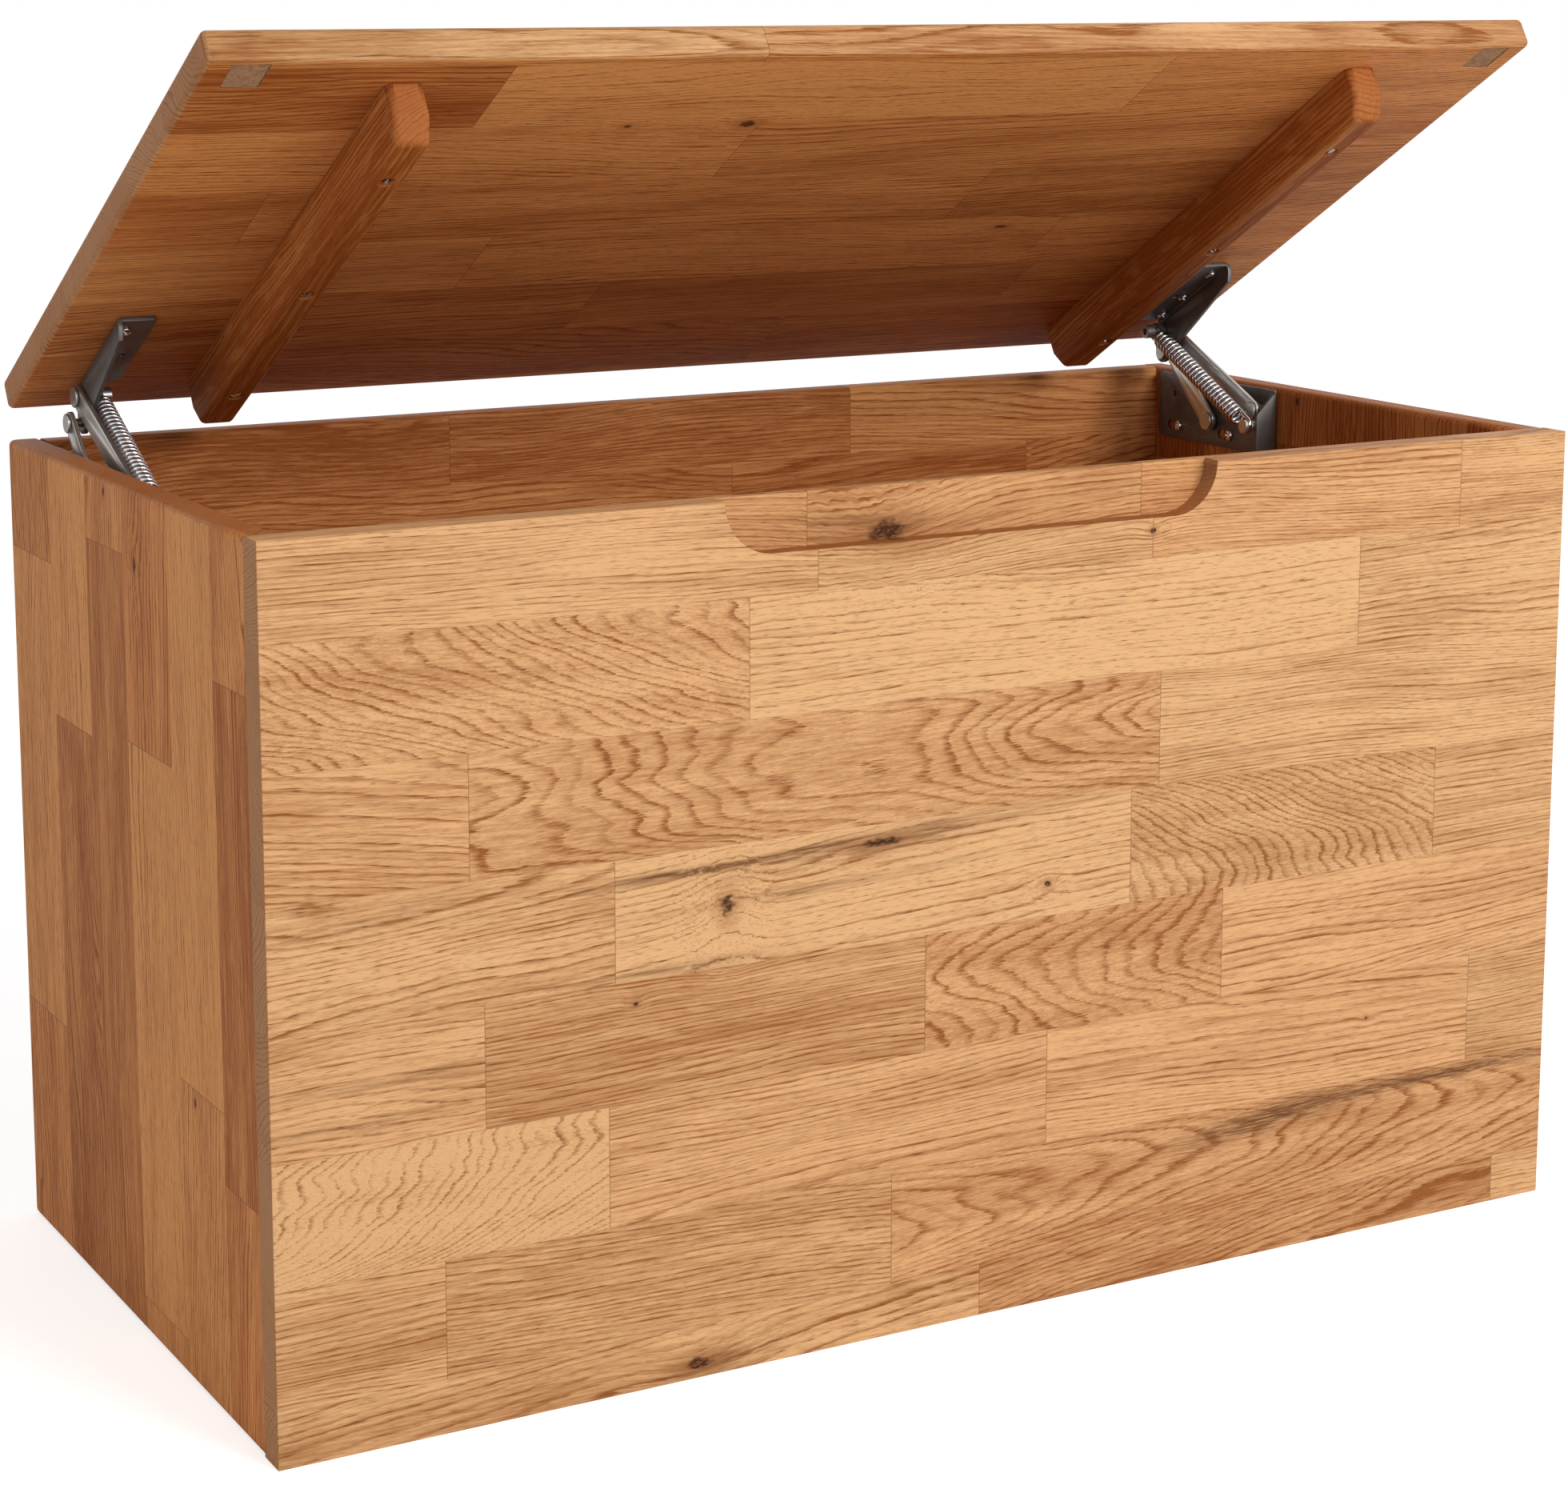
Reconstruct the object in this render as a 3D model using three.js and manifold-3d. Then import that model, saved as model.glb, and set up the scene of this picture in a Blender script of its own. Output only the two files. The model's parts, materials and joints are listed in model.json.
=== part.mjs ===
// Blanket chest of solid oak boards, with its lid held open by two sprung linkage hinges.
// Millimetres, +Z up. The origin is on the floor under the middle of the body.
// The front of the chest looks along -Y. The lid stands open, as it does in use.

import * as THREE from 'three';
import { RoundedBoxGeometry } from 'three/addons/geometries/RoundedBoxGeometry.js';
import { mergeVertices } from 'three/addons/utils/BufferGeometryUtils.js';
import Module from 'manifold-3d';

const wasm = await Module();
wasm.setup();

// Body
const bodyWidth = 800;
const bodyDepth = 400;
const bodyHeight = 460;
const boardThickness = 18;
const boardRounding = 3;
const backSetIn = 2;
const seamGap = 0.3;

// Bottom board, let into a groove in the four walls
const bottomThickness = 12;
const bottomHeight = 22;
const grooveDepth = 6;
const grooveClearance = 0.3;

// Glue blocks in the four upright corners
const blockWidth = 28;
const blockDepth = 22;
const blockBelowRim = 65;
const blockRounding = 1.5;

// Finger recess along the top of the front board
const recessHalfWidth = 152;
const recessHeight = 28.5;
const recessDepth = 12;
const recessCornerRadius = 28;

// Lid
const lidThickness = 18;
const lidOverhangSide = 2;
const lidOverhangFront = 2;
const lidRestGap = 0.5;

// Battens under the lid
const battenWidth = 20;
const battenHeight = 30;
const battenFromSide = 96;
const battenFrontClearance = 4;
const battenBackClearance = 5;
const battenNoseRun = 7.5;
const battenNoseRise = 13;
const battenRounding = 2;
const battenScrewFromEnd = 46.5;
const counterboreRadius = 4.6;
const counterboreDepth = 2.6;

// Felt pads let into the lid's front corners
const feltWidth = 19;
const feltLength = 22;
const feltFromSide = 12;
const feltFromFront = 4;
const feltPocketDepth = 3;
const feltRecess = 0.3;

// Hinge plate on the inside of each side board
const plateThickness = 2;
const plateLength = 127.5;
const plateHeight = 43;
const plateBelowRim = 2;
const plateFromBack = 6.5;
const plateCornerRadius = 6;
const plateFlangeReach = 17;
const plateFlangeSlope = 13;
const slotLength = 16;
const slotWidth = 6.4;
const slotFromBottom = 8.5;
const slotRearFromBack = 18;
const slotFrontFromBack = 74;
const plateHoleRadius = 2;
const plateHoleFromBack = 18;
const plateHoleFromTop = 13.5;

// Pivots of the linkage with the lid shut, measured on the hinge plate
const longPivotFromFront = 14.5;
const longPivotBelowRim = 16;
const shortPivotFromFront = 67.5;
const shortPivotBelowRim = 28.5;
const springPinFromFront = 5.5;
const springPinBelowRim = 24;
const upperPinFromFront = 118;
const upperPinBelowRim = 9;
const lowerPinBehindUpper = 7.65;
const lowerPinBelowUpper = 12.5;
const longArmOpenDegrees = 24.8;

// Arms
const armThickness = 2.5;
const longArmWidth = 14;
const shortArmWidth = 13;
const layerGap = 0.3;
const headThickness = 1.5;

// Rivets and pins
const rivetRadius = 3;
const rivetHeadRadius = 6;
const rivetClearance = 0.3;
const lowerPinRadius = 2.5;
const lowerPinHeadRadius = 5.5;
const openPivotClearance = 2.1;
const spacerRadius = 4.5;
const neckRadius = 2;
const neckLength = 3.2;
const bossRadius = 4.5;
const bossLength = 6;
const bossHoleRadius = 2;
const bossHoleDepth = 4;
const springPinRadius = 3;
const springPinHeadThickness = 2;

// Lid bracket
const bracketThickness = 2.5;
const bracketLength = 84;
const bracketFlangeWidth = 22.5;
const bracketFlangeLength = 80;
const bracketFrontDepth = 6;
const bracketBevelRun = 4;
const bracketBevelDrop = 6;
const bracketTipDepth = 24;
const bracketUpperRadius = 8.2;
const bracketLowerRadius = 6.5;
const bracketFlangeCorner = 4.5;
const bracketHoleRadius = 2;
const bracketHoleFromEdge = 8;
const bracketHoleShare = 0.56;
const bracketScrewShares = [0.15, 0.575, 0.9];

// Springs
const wireDiameter = 2.4;
const coilDiameter = 12;
const coilTurns = 26;
const coilFromPin = 9.5;
const hookDegrees = 250;
const springGap = 0.5;
const curlSteps = 8;
const wireSides = 5;
const hookSteps = 12;

// Screws
const screwHeadRadius = 3.6;
const screwHeadHeight = 1.8;
const screwShankRadius = 1.75;
const screwTip = 3;
const screwClearance = 0.35;
const plateScrewLength = 14;
const bracketScrewLength = 13;
const battenScrewLength = 40;
const bracketScrewFromFold = 7.5;

// Counts and small allowances
const overrun = 5;
const roundSides = 12;
const screwSides = 8;
const edgeSegments = 2;
const blockEdgeSegments = 1;

// Places that follow from the sizes above
const frontY = -bodyDepth / 2;
const backY = bodyDepth / 2;
const sideX = bodyWidth / 2;
const innerX = sideX - boardThickness;
const innerFrontY = frontY + boardThickness;
const backPanelY = backY - backSetIn - boardThickness;
const lidWidth = bodyWidth + 2 * lidOverhangSide;
const lidDepth = bodyDepth + lidOverhangFront;
const lidUnderZ = bodyHeight + lidRestGap;
const plateRearY = backPanelY - plateFromBack;
const plateFrontY = plateRearY - plateLength;
const plateTopZ = bodyHeight - plateBelowRim;
const plateBottomZ = plateTopZ - plateHeight;

// Layers of each hinge, counted from the board towards the inside of the chest
const lowerHeadLayer = plateThickness + layerGap;
const shortArmLayer = lowerHeadLayer + headThickness + layerGap;
const upperHeadLayer = shortArmLayer + armThickness + layerGap;
const longArmLayer = upperHeadLayer + headThickness + layerGap;
const bracketLayer = longArmLayer + armThickness + layerGap;
const collarLayer = bracketLayer + bracketThickness + layerGap;
const springLayer = collarLayer + coilDiameter / 2 + springGap;
const neckLayer = springLayer - neckLength / 2;
const bossLayer = springLayer + neckLength / 2;

const steel = { color: 0x9a9b9c, roughness: 0.32, metalness: 0.9 };
const brightSteel = { color: 0xc9ccd0, roughness: 0.22, metalness: 0.95 };
const oak = { color: 0xb9814f, roughness: 0.55, metalness: 0 };
const paleOak = { color: 0xc08c5a, roughness: 0.6, metalness: 0 };
const darkOak = { color: 0x94602f, roughness: 0.6, metalness: 0 };
const felt = { color: 0x6d5a4a, roughness: 0.95, metalness: 0 };

const chest = new THREE.Group();

function addMesh(parent, name, geometry, finish) {
  const mesh = new THREE.Mesh(geometry, new THREE.MeshStandardMaterial(finish));
  mesh.name = name;
  parent.add(mesh);
  return mesh;
}

// Solids for joining and cutting
function toSolid(geometry) {
  const bare = geometry.clone();
  bare.deleteAttribute('normal');
  bare.deleteAttribute('uv');
  const merged = mergeVertices(bare);
  return new wasm.Manifold(new wasm.Mesh({
    numProp: 3,
    vertProperties: new Float32Array(merged.attributes.position.array),
    triVerts: new Uint32Array(merged.index.array),
  }));
}

function toGeometry(solid) {
  const mesh = solid.getMesh();
  const geometry = new THREE.BufferGeometry();
  geometry.setAttribute('position', new THREE.BufferAttribute(new Float32Array(mesh.vertProperties), mesh.numProp));
  geometry.setIndex(new THREE.BufferAttribute(new Uint32Array(mesh.triVerts), 1));
  geometry.computeVertexNormals();
  return geometry;
}

function cut(geometry, tools) {
  let solid = toSolid(geometry);
  for (const tool of tools) {
    solid = solid.subtract(toSolid(tool));
  }
  return toGeometry(solid);
}

function join(geometries) {
  let solid = toSolid(geometries[0]);
  for (const geometry of geometries.slice(1)) {
    solid = solid.add(toSolid(geometry));
  }
  return toGeometry(solid);
}

// A box given by its lowest and highest corners
function boxBetween(low, high) {
  const size = high.map((value, axis) => value - low[axis]);
  const geometry = new THREE.BoxGeometry(...size);
  geometry.translate(...low.map((value, axis) => value + size[axis] / 2));
  return geometry;
}

function roundedBoxBetween(low, high, radius, segments = edgeSegments) {
  const size = high.map((value, axis) => value - low[axis]);
  const geometry = new RoundedBoxGeometry(...size, segments, radius);
  geometry.translate(...low.map((value, axis) => value + size[axis] / 2));
  return geometry;
}

// A board with rounded edges, left square on the sides where it meets another board.
// `square` names those sides, such as '-x'.
function boardBetween(low, high, square, radius) {
  const grownLow = low.map((value, axis) => value - (square.includes('-' + 'xyz'[axis]) ? 2 * radius : 0));
  const grownHigh = high.map((value, axis) => value + (square.includes('+' + 'xyz'[axis]) ? 2 * radius : 0));
  const rounded = toSolid(roundedBoxBetween(grownLow, grownHigh, radius));
  return toGeometry(rounded.intersect(toSolid(boxBetween(low, high))));
}

// An outline drawn in Y and Z, made solid from layer `from` to layer `to` off the board.
// `side` is 1 on the left hinge, where layers grow along +X, and -1 on the right one.
function slab(shape, from, to, side) {
  const geometry = new THREE.ExtrudeGeometry(shape, {
    depth: to - from,
    bevelEnabled: false,
    curveSegments: roundSides / 2,
  });
  const basis = new THREE.Matrix4().makeBasis(
    new THREE.Vector3(0, 1, 0),
    new THREE.Vector3(0, 0, 1),
    new THREE.Vector3(1, 0, 0),
  );
  geometry.applyMatrix4(basis);
  geometry.translate(side > 0 ? from : -to, 0, 0);
  return geometry;
}

// A turned piece whose axis runs through the layers. `profile` lists [layer, radius].
function turned(profile, side, sides = roundSides) {
  const points = profile.map(([layer, radius]) => new THREE.Vector2(radius, layer));
  const geometry = new THREE.LatheGeometry(points, sides);
  geometry.rotateZ(-side * Math.PI / 2);
  return geometry;
}

function disc(from, to, radius, side) {
  return turned([[from, 0], [from, radius], [to, radius], [to, 0]], side);
}

// Screws point along -Z with the underside of the head at the origin
function screwGeometry(length) {
  const profile = [
    new THREE.Vector2(0, -length),
    new THREE.Vector2(screwShankRadius, screwTip - length),
    new THREE.Vector2(screwShankRadius, 0),
    new THREE.Vector2(screwHeadRadius, 0),
    new THREE.Vector2(screwHeadRadius, screwHeadHeight / 2),
    new THREE.Vector2(screwHeadRadius * 2 / 3, screwHeadHeight),
    new THREE.Vector2(0, screwHeadHeight),
  ];
  return new THREE.LatheGeometry(profile, screwSides);
}

// The same screw turned about, so that its shank points along `direction`
function screwAt(point, direction, length) {
  const geometry = screwGeometry(length);
  const down = new THREE.Vector3(0, -1, 0);
  const turn = new THREE.Quaternion().setFromUnitVectors(down, new THREE.Vector3(...direction));
  geometry.applyQuaternion(turn);
  geometry.translate(...point);
  return geometry;
}

// The hole that such a screw stands in, with clearance all round and past the tip
function screwHole(point, direction, length) {
  const depth = length + screwClearance;
  const hole = new THREE.CylinderGeometry(
    screwShankRadius + screwClearance,
    screwShankRadius + screwClearance,
    depth + overrun,
    screwSides,
  );
  hole.translate(0, (overrun - depth) / 2, 0);
  const down = new THREE.Vector3(0, -1, 0);
  const turn = new THREE.Quaternion().setFromUnitVectors(down, new THREE.Vector3(...direction));
  hole.applyQuaternion(turn);
  hole.translate(...point);
  return hole;
}

// Linkage, worked out in the Y and Z plane
const longPivot = new THREE.Vector2(plateFrontY + longPivotFromFront, bodyHeight - longPivotBelowRim);
const shortPivot = new THREE.Vector2(plateFrontY + shortPivotFromFront, bodyHeight - shortPivotBelowRim);
const springPin = new THREE.Vector2(plateFrontY + springPinFromFront, bodyHeight - springPinBelowRim);
const upperPinShut = new THREE.Vector2(plateFrontY + upperPinFromFront, bodyHeight - upperPinBelowRim);
const lowerPinShut = new THREE.Vector2(
  upperPinShut.x + lowerPinBehindUpper,
  upperPinShut.y - lowerPinBelowUpper,
);
const longArmLength = longPivot.distanceTo(upperPinShut);
const shortArmLength = shortPivot.distanceTo(lowerPinShut);
const pinSpacing = upperPinShut.distanceTo(lowerPinShut);

function directionAngle(from, to) {
  return Math.atan2(to.y - from.y, to.x - from.x);
}

function pointAt(centre, radius, angle) {
  return new THREE.Vector2(centre.x + radius * Math.cos(angle), centre.y + radius * Math.sin(angle));
}

const longArmOpen = THREE.MathUtils.degToRad(longArmOpenDegrees);
const upperPinOpen = pointAt(longPivot, longArmLength, longArmOpen);
const reach = upperPinOpen.distanceTo(shortPivot);
const cornerCosine = (pinSpacing ** 2 + reach ** 2 - shortArmLength ** 2) / (2 * pinSpacing * reach);
const bracketOpenAngle = directionAngle(upperPinOpen, shortPivot) + Math.acos(cornerCosine);
const lowerPinOpen = pointAt(upperPinOpen, pinSpacing, bracketOpenAngle);
const lidTurn = bracketOpenAngle - directionAngle(upperPinShut, lowerPinShut);

const longArmShut = directionAngle(longPivot, upperPinShut);
const shortArmShut = directionAngle(shortPivot, lowerPinShut);
const shortArmOpen = directionAngle(shortPivot, lowerPinOpen);
const springShut = directionAngle(springPin, upperPinShut);
const springOpen = directionAngle(springPin, upperPinOpen);
const springSpan = springPin.distanceTo(upperPinOpen);

function report(label, value) {
  console.log(label + ': ' + value.toFixed(5));
}

report('long pivot y', longPivot.x);
report('long pivot z', longPivot.y);
report('short pivot y', shortPivot.x);
report('short pivot z', shortPivot.y);
report('spring pin y', springPin.x);
report('spring pin z', springPin.y);
report('upper pin y, lid open', upperPinOpen.x);
report('upper pin z, lid open', upperPinOpen.y);
report('long arm turn, degrees', THREE.MathUtils.radToDeg(longArmOpen - longArmShut));
report('short arm turn, degrees', THREE.MathUtils.radToDeg(shortArmOpen - shortArmShut));
report('spring turn, degrees', THREE.MathUtils.radToDeg(springOpen - springShut));
report('lid turn, degrees', THREE.MathUtils.radToDeg(-lidTurn));
report('spring span, lid open', springSpan);
report('spring span, lid shut', springPin.distanceTo(upperPinShut));

// Body boards
function recessTool() {
  const bottomZ = bodyHeight - recessHeight;
  const radius = Math.min(recessCornerRadius, recessHeight);
  const shape = new THREE.Shape();
  shape.moveTo(-recessHalfWidth, bodyHeight + overrun);
  shape.lineTo(-recessHalfWidth, bottomZ + radius);
  shape.absarc(radius - recessHalfWidth, bottomZ + radius, radius, Math.PI, 1.5 * Math.PI, false);
  shape.absarc(recessHalfWidth - radius, bottomZ + radius, radius, 1.5 * Math.PI, 2 * Math.PI, false);
  shape.lineTo(recessHalfWidth, bodyHeight + overrun);
  const tool = new THREE.ExtrudeGeometry(shape, {
    depth: recessDepth + overrun,
    bevelEnabled: false,
    curveSegments: roundSides / 2,
  });
  tool.rotateX(Math.PI / 2);
  tool.translate(0, frontY + recessDepth, 0);
  return tool;
}

// The space that the bottom board and its clearance take up in the walls
function grooveTool() {
  const low = [
    -innerX - grooveDepth,
    innerFrontY - grooveDepth,
    bottomHeight - grooveClearance,
  ];
  const high = [
    innerX + grooveDepth,
    backPanelY + grooveDepth,
    bottomHeight + bottomThickness + grooveClearance,
  ];
  return boxBetween(low, high);
}

const frontPanel = boardBetween([-sideX, frontY, 0], [sideX, innerFrontY, bodyHeight], ['+y'], boardRounding);
addMesh(chest, 'front_panel', cut(frontPanel, [recessTool(), grooveTool()]), oak);

const backPanel = boardBetween(
  [-innerX, backPanelY, 0],
  [innerX, backPanelY + boardThickness, bodyHeight],
  ['-x', '+x'],
  boardRounding / 2,
);
addMesh(chest, 'back_panel', cut(backPanel, [grooveTool()]), darkOak);

const bottomBoard = boxBetween(
  [-innerX - grooveDepth + grooveClearance, innerFrontY - grooveDepth + grooveClearance, bottomHeight],
  [
    innerX + grooveDepth - grooveClearance,
    backPanelY + grooveDepth - grooveClearance,
    bottomHeight + bottomThickness,
  ],
);
addMesh(chest, 'bottom_panel', bottomBoard, paleOak);

const hinges = [
  { word: 'left', side: 1 },
  { word: 'right', side: -1 },
];

// Screws of a hinge plate, as places along Y and Z
const slotRows = [slotRearFromBack, slotFrontFromBack].map((fromBack) => ({
  slotY: plateRearY - fromBack,
  slotZ: plateBottomZ + slotFromBottom,
}));
const slotTravel = (slotLength - slotWidth) / 2;

for (const { word, side } of hinges) {
  const outerX = -side * sideX;
  const wallX = -side * innerX;
  const panel = boardBetween(
    [Math.min(outerX, wallX), innerFrontY, 0],
    [Math.max(outerX, wallX), backY, bodyHeight],
    ['-y'],
    boardRounding,
  );
  const holes = slotRows.map(({ slotY, slotZ }) => screwHole(
    [wallX, slotY - slotTravel, slotZ],
    [-side, 0, 0],
    plateScrewLength - plateThickness,
  ));
  addMesh(chest, 'side_panel_' + word, cut(panel, [grooveTool(), ...holes]), oak);

  const blockZ = bottomHeight + bottomThickness;
  const blockRows = [
    { place: 'front', fromY: innerFrontY, toY: innerFrontY + blockDepth },
    { place: 'rear', fromY: backPanelY - blockDepth, toY: backPanelY },
  ];
  for (const { place, fromY, toY } of blockRows) {
    const inboardX = wallX + side * blockWidth;
    const block = roundedBoxBetween(
      [Math.min(wallX, inboardX), fromY, blockZ],
      [Math.max(wallX, inboardX), toY, bodyHeight - blockBelowRim],
      blockRounding,
      blockEdgeSegments,
    );
    addMesh(chest, 'corner_block_' + place + '_' + word, block, darkOak);
  }
}

// Fixed hinge pieces: plate, rivets and the lower spring pin
function plateOutline() {
  const radius = plateCornerRadius;
  const shape = new THREE.Shape();
  shape.moveTo(plateFrontY, plateTopZ);
  shape.lineTo(plateFrontY, plateBottomZ);
  shape.lineTo(plateRearY - radius, plateBottomZ);
  shape.absarc(plateRearY - radius, plateBottomZ + radius, radius, 1.5 * Math.PI, 2 * Math.PI, false);
  shape.lineTo(plateRearY, plateTopZ - radius / 2);
  shape.absarc(plateRearY - radius / 2, plateTopZ - radius / 2, radius / 2, 0, Math.PI / 2, false);
  return shape;
}

function slotShape(centreY, centreZ) {
  const radius = slotWidth / 2;
  const shape = new THREE.Shape();
  shape.absarc(centreY + slotTravel, centreZ, radius, -Math.PI / 2, Math.PI / 2, false);
  shape.absarc(centreY - slotTravel, centreZ, radius, Math.PI / 2, 1.5 * Math.PI, false);
  return shape;
}

function plateGeometry(side) {
  const plate = slab(plateOutline(), 0, plateThickness, side);
  const flange = new THREE.Shape();
  flange.moveTo(0, plateBottomZ);
  flange.lineTo(plateFlangeReach - plateFlangeSlope / 2, plateBottomZ);
  flange.lineTo(plateFlangeReach, plateBottomZ + plateFlangeSlope / 2);
  flange.lineTo(plateFlangeReach, plateTopZ - plateFlangeSlope);
  flange.lineTo(plateThickness, plateTopZ);
  flange.lineTo(0, plateTopZ);
  const wing = new THREE.ExtrudeGeometry(flange, { depth: plateThickness, bevelEnabled: false });
  wing.rotateX(Math.PI / 2);
  if (side < 0) {
    wing.rotateZ(Math.PI);
    wing.translate(0, plateFrontY, 0);
  } else {
    wing.translate(0, plateFrontY + plateThickness, 0);
  }
  const tools = slotRows.map(({ slotY, slotZ }) => (
    slab(slotShape(slotY, slotZ), -overrun, plateThickness + overrun, side)
  ));
  const rounds = [
    { at: longPivot, radius: rivetRadius + rivetClearance },
    { at: shortPivot, radius: rivetRadius + rivetClearance },
    { at: springPin, radius: neckRadius + rivetClearance },
    {
      at: new THREE.Vector2(plateRearY - plateHoleFromBack, plateTopZ - plateHoleFromTop),
      radius: plateHoleRadius,
    },
  ];
  for (const { at, radius } of rounds) {
    const hole = disc(-overrun, plateThickness + overrun, radius, side);
    hole.translate(0, at.x, at.y);
    tools.push(hole);
  }
  return cut(join([plate, wing]), tools);
}

// A flat arm with round ends, from the origin along +Y
function armGeometry(length, width, layer, holeRadii, side) {
  const radius = width / 2;
  const shape = new THREE.Shape();
  shape.absarc(0, 0, radius, Math.PI / 2, 1.5 * Math.PI, false);
  shape.absarc(length, 0, radius, -Math.PI / 2, Math.PI / 2, false);
  const arm = slab(shape, layer, layer + armThickness, side);
  const tools = holeRadii.map((holeRadius, end) => {
    const hole = disc(-overrun, layer + armThickness + overrun, holeRadius, side);
    hole.translate(0, end * length, 0);
    return hole;
  });
  return cut(arm, tools);
}

const longRivetProfile = [
  [seamGap, 0],
  [seamGap, rivetRadius],
  [plateThickness + layerGap, rivetRadius],
  [plateThickness + layerGap, spacerRadius],
  [longArmLayer - layerGap, spacerRadius],
  [longArmLayer - layerGap, rivetRadius],
  [longArmLayer + armThickness + layerGap, rivetRadius],
  [longArmLayer + armThickness + layerGap, rivetHeadRadius],
  [longArmLayer + armThickness + layerGap + headThickness, rivetHeadRadius],
  [longArmLayer + armThickness + layerGap + headThickness, 0],
];

const shortRivetProfile = [
  [seamGap, 0],
  [seamGap, rivetRadius],
  [plateThickness + layerGap, rivetRadius],
  [plateThickness + layerGap, spacerRadius],
  [shortArmLayer - layerGap, spacerRadius],
  [shortArmLayer - layerGap, rivetRadius],
  [shortArmLayer + armThickness + layerGap, rivetRadius],
  [shortArmLayer + armThickness + layerGap, rivetHeadRadius],
  [shortArmLayer + armThickness + layerGap + headThickness, rivetHeadRadius],
  [shortArmLayer + armThickness + layerGap + headThickness, 0],
];

const springPinProfile = [
  [seamGap, 0],
  [seamGap, neckRadius],
  [plateThickness + layerGap, neckRadius],
  [plateThickness + layerGap, springPinRadius],
  [neckLayer, springPinRadius],
  [neckLayer, neckRadius],
  [bossLayer, neckRadius],
  [bossLayer, bossRadius],
  [bossLayer + springPinHeadThickness, bossRadius],
  [bossLayer + springPinHeadThickness, 0],
];

const upperPinProfile = [
  [upperHeadLayer, 0],
  [upperHeadLayer, rivetHeadRadius],
  [upperHeadLayer + headThickness, rivetHeadRadius],
  [upperHeadLayer + headThickness, rivetRadius],
  [collarLayer, rivetRadius],
  [collarLayer, spacerRadius],
  [neckLayer, spacerRadius],
  [neckLayer, neckRadius],
  [bossLayer, neckRadius],
  [bossLayer, bossRadius],
  [bossLayer + bossLength, bossRadius],
  [bossLayer + bossLength, bossHoleRadius],
  [bossLayer + bossLength - bossHoleDepth, bossHoleRadius],
  [bossLayer + bossLength - bossHoleDepth, 0],
];

const lowerPinProfile = [
  [lowerHeadLayer, 0],
  [lowerHeadLayer, lowerPinHeadRadius],
  [lowerHeadLayer + headThickness, lowerPinHeadRadius],
  [lowerHeadLayer + headThickness, lowerPinRadius],
  [collarLayer, lowerPinRadius],
  [collarLayer, spacerRadius],
  [collarLayer + headThickness, spacerRadius],
  [collarLayer + headThickness, 0],
];

// Spring wire: hook, coil, hook. Points are [along, up, across] on the spring's own axis.
function springPoints(side) {
  const radius = (coilDiameter - wireDiameter) / 2;
  const hookShift = radius - wireDiameter / 2 - neckRadius - layerGap;
  const sweep = THREE.MathUtils.degToRad(hookDegrees);
  const coilStart = coilFromPin;
  const coilEnd = springSpan - coilFromPin;
  const points = [];
  for (let step = 0; step <= hookSteps; step += 1) {
    const angle = Math.PI / 2 + sweep * (1 - step / hookSteps);
    points.push([hookShift + radius * Math.cos(angle), radius * Math.sin(angle), 0]);
  }
  points.push([(hookShift + coilStart) / 2, radius, 0]);
  const total = coilTurns * curlSteps;
  for (let step = 0; step <= total; step += 1) {
    const angle = Math.PI / 2 + side * 2 * Math.PI * step / curlSteps;
    const along = coilStart + (coilEnd - coilStart) * step / total;
    points.push([along, radius * Math.sin(angle), radius * Math.cos(angle)]);
  }
  const farCentre = springSpan - hookShift;
  points.push([(farCentre + coilEnd) / 2, radius, 0]);
  for (let step = 0; step <= hookSteps; step += 1) {
    const angle = Math.PI / 2 - sweep * step / hookSteps;
    points.push([farCentre + radius * Math.cos(angle), radius * Math.sin(angle), 0]);
  }
  const wire = points.map(([along, up, across]) => new THREE.Vector3(across, along, up));
  const firstEnd = wire[0].clone().sub(wire[1]).setLength(wireDiameter).add(wire[0]);
  const lastEnd = wire.at(-1).clone().sub(wire.at(-2)).setLength(wireDiameter).add(wire.at(-1));
  return [firstEnd, ...wire, lastEnd];
}

// One closed tube round a row of points, with a flat cap at each end
function tubeGeometry(points, radius, sides) {
  const rings = [];
  const tangents = points.map((point, index) => {
    const before = points[Math.max(index - 1, 0)];
    const after = points[Math.min(index + 1, points.length - 1)];
    return after.clone().sub(before).normalize();
  });
  let normal = new THREE.Vector3(1, 0, 0);
  points.forEach((point, index) => {
    const tangent = tangents[index];
    normal = normal.clone().addScaledVector(tangent, -normal.dot(tangent)).normalize();
    const binormal = tangent.clone().cross(normal);
    for (let corner = 0; corner < sides; corner += 1) {
      const angle = 2 * Math.PI * corner / sides;
      rings.push(point.clone()
        .addScaledVector(normal, radius * Math.cos(angle))
        .addScaledVector(binormal, radius * Math.sin(angle)));
    }
  });
  const faces = [];
  for (let ring = 0; ring < points.length - 1; ring += 1) {
    for (let corner = 0; corner < sides; corner += 1) {
      const next = (corner + 1) % sides;
      const a = ring * sides + corner;
      const b = ring * sides + next;
      faces.push(a, b, b + sides, a, b + sides, a + sides);
    }
  }
  const last = (points.length - 1) * sides;
  for (let corner = 1; corner < sides - 1; corner += 1) {
    faces.push(0, corner + 1, corner);
    faces.push(last, last + corner, last + corner + 1);
  }
  const geometry = new THREE.BufferGeometry().setFromPoints(rings);
  geometry.setIndex(faces);
  geometry.computeVertexNormals();
  return geometry;
}

function leastSelfGap(points) {
  let least = Infinity;
  for (let first = 0; first < points.length; first += 1) {
    for (let second = first + curlSteps / 2; second < points.length; second += 1) {
      least = Math.min(least, points[first].distanceTo(points[second]));
    }
  }
  return least - wireDiameter;
}

report('spring, least gap to itself', leastSelfGap(springPoints(1)));

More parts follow.
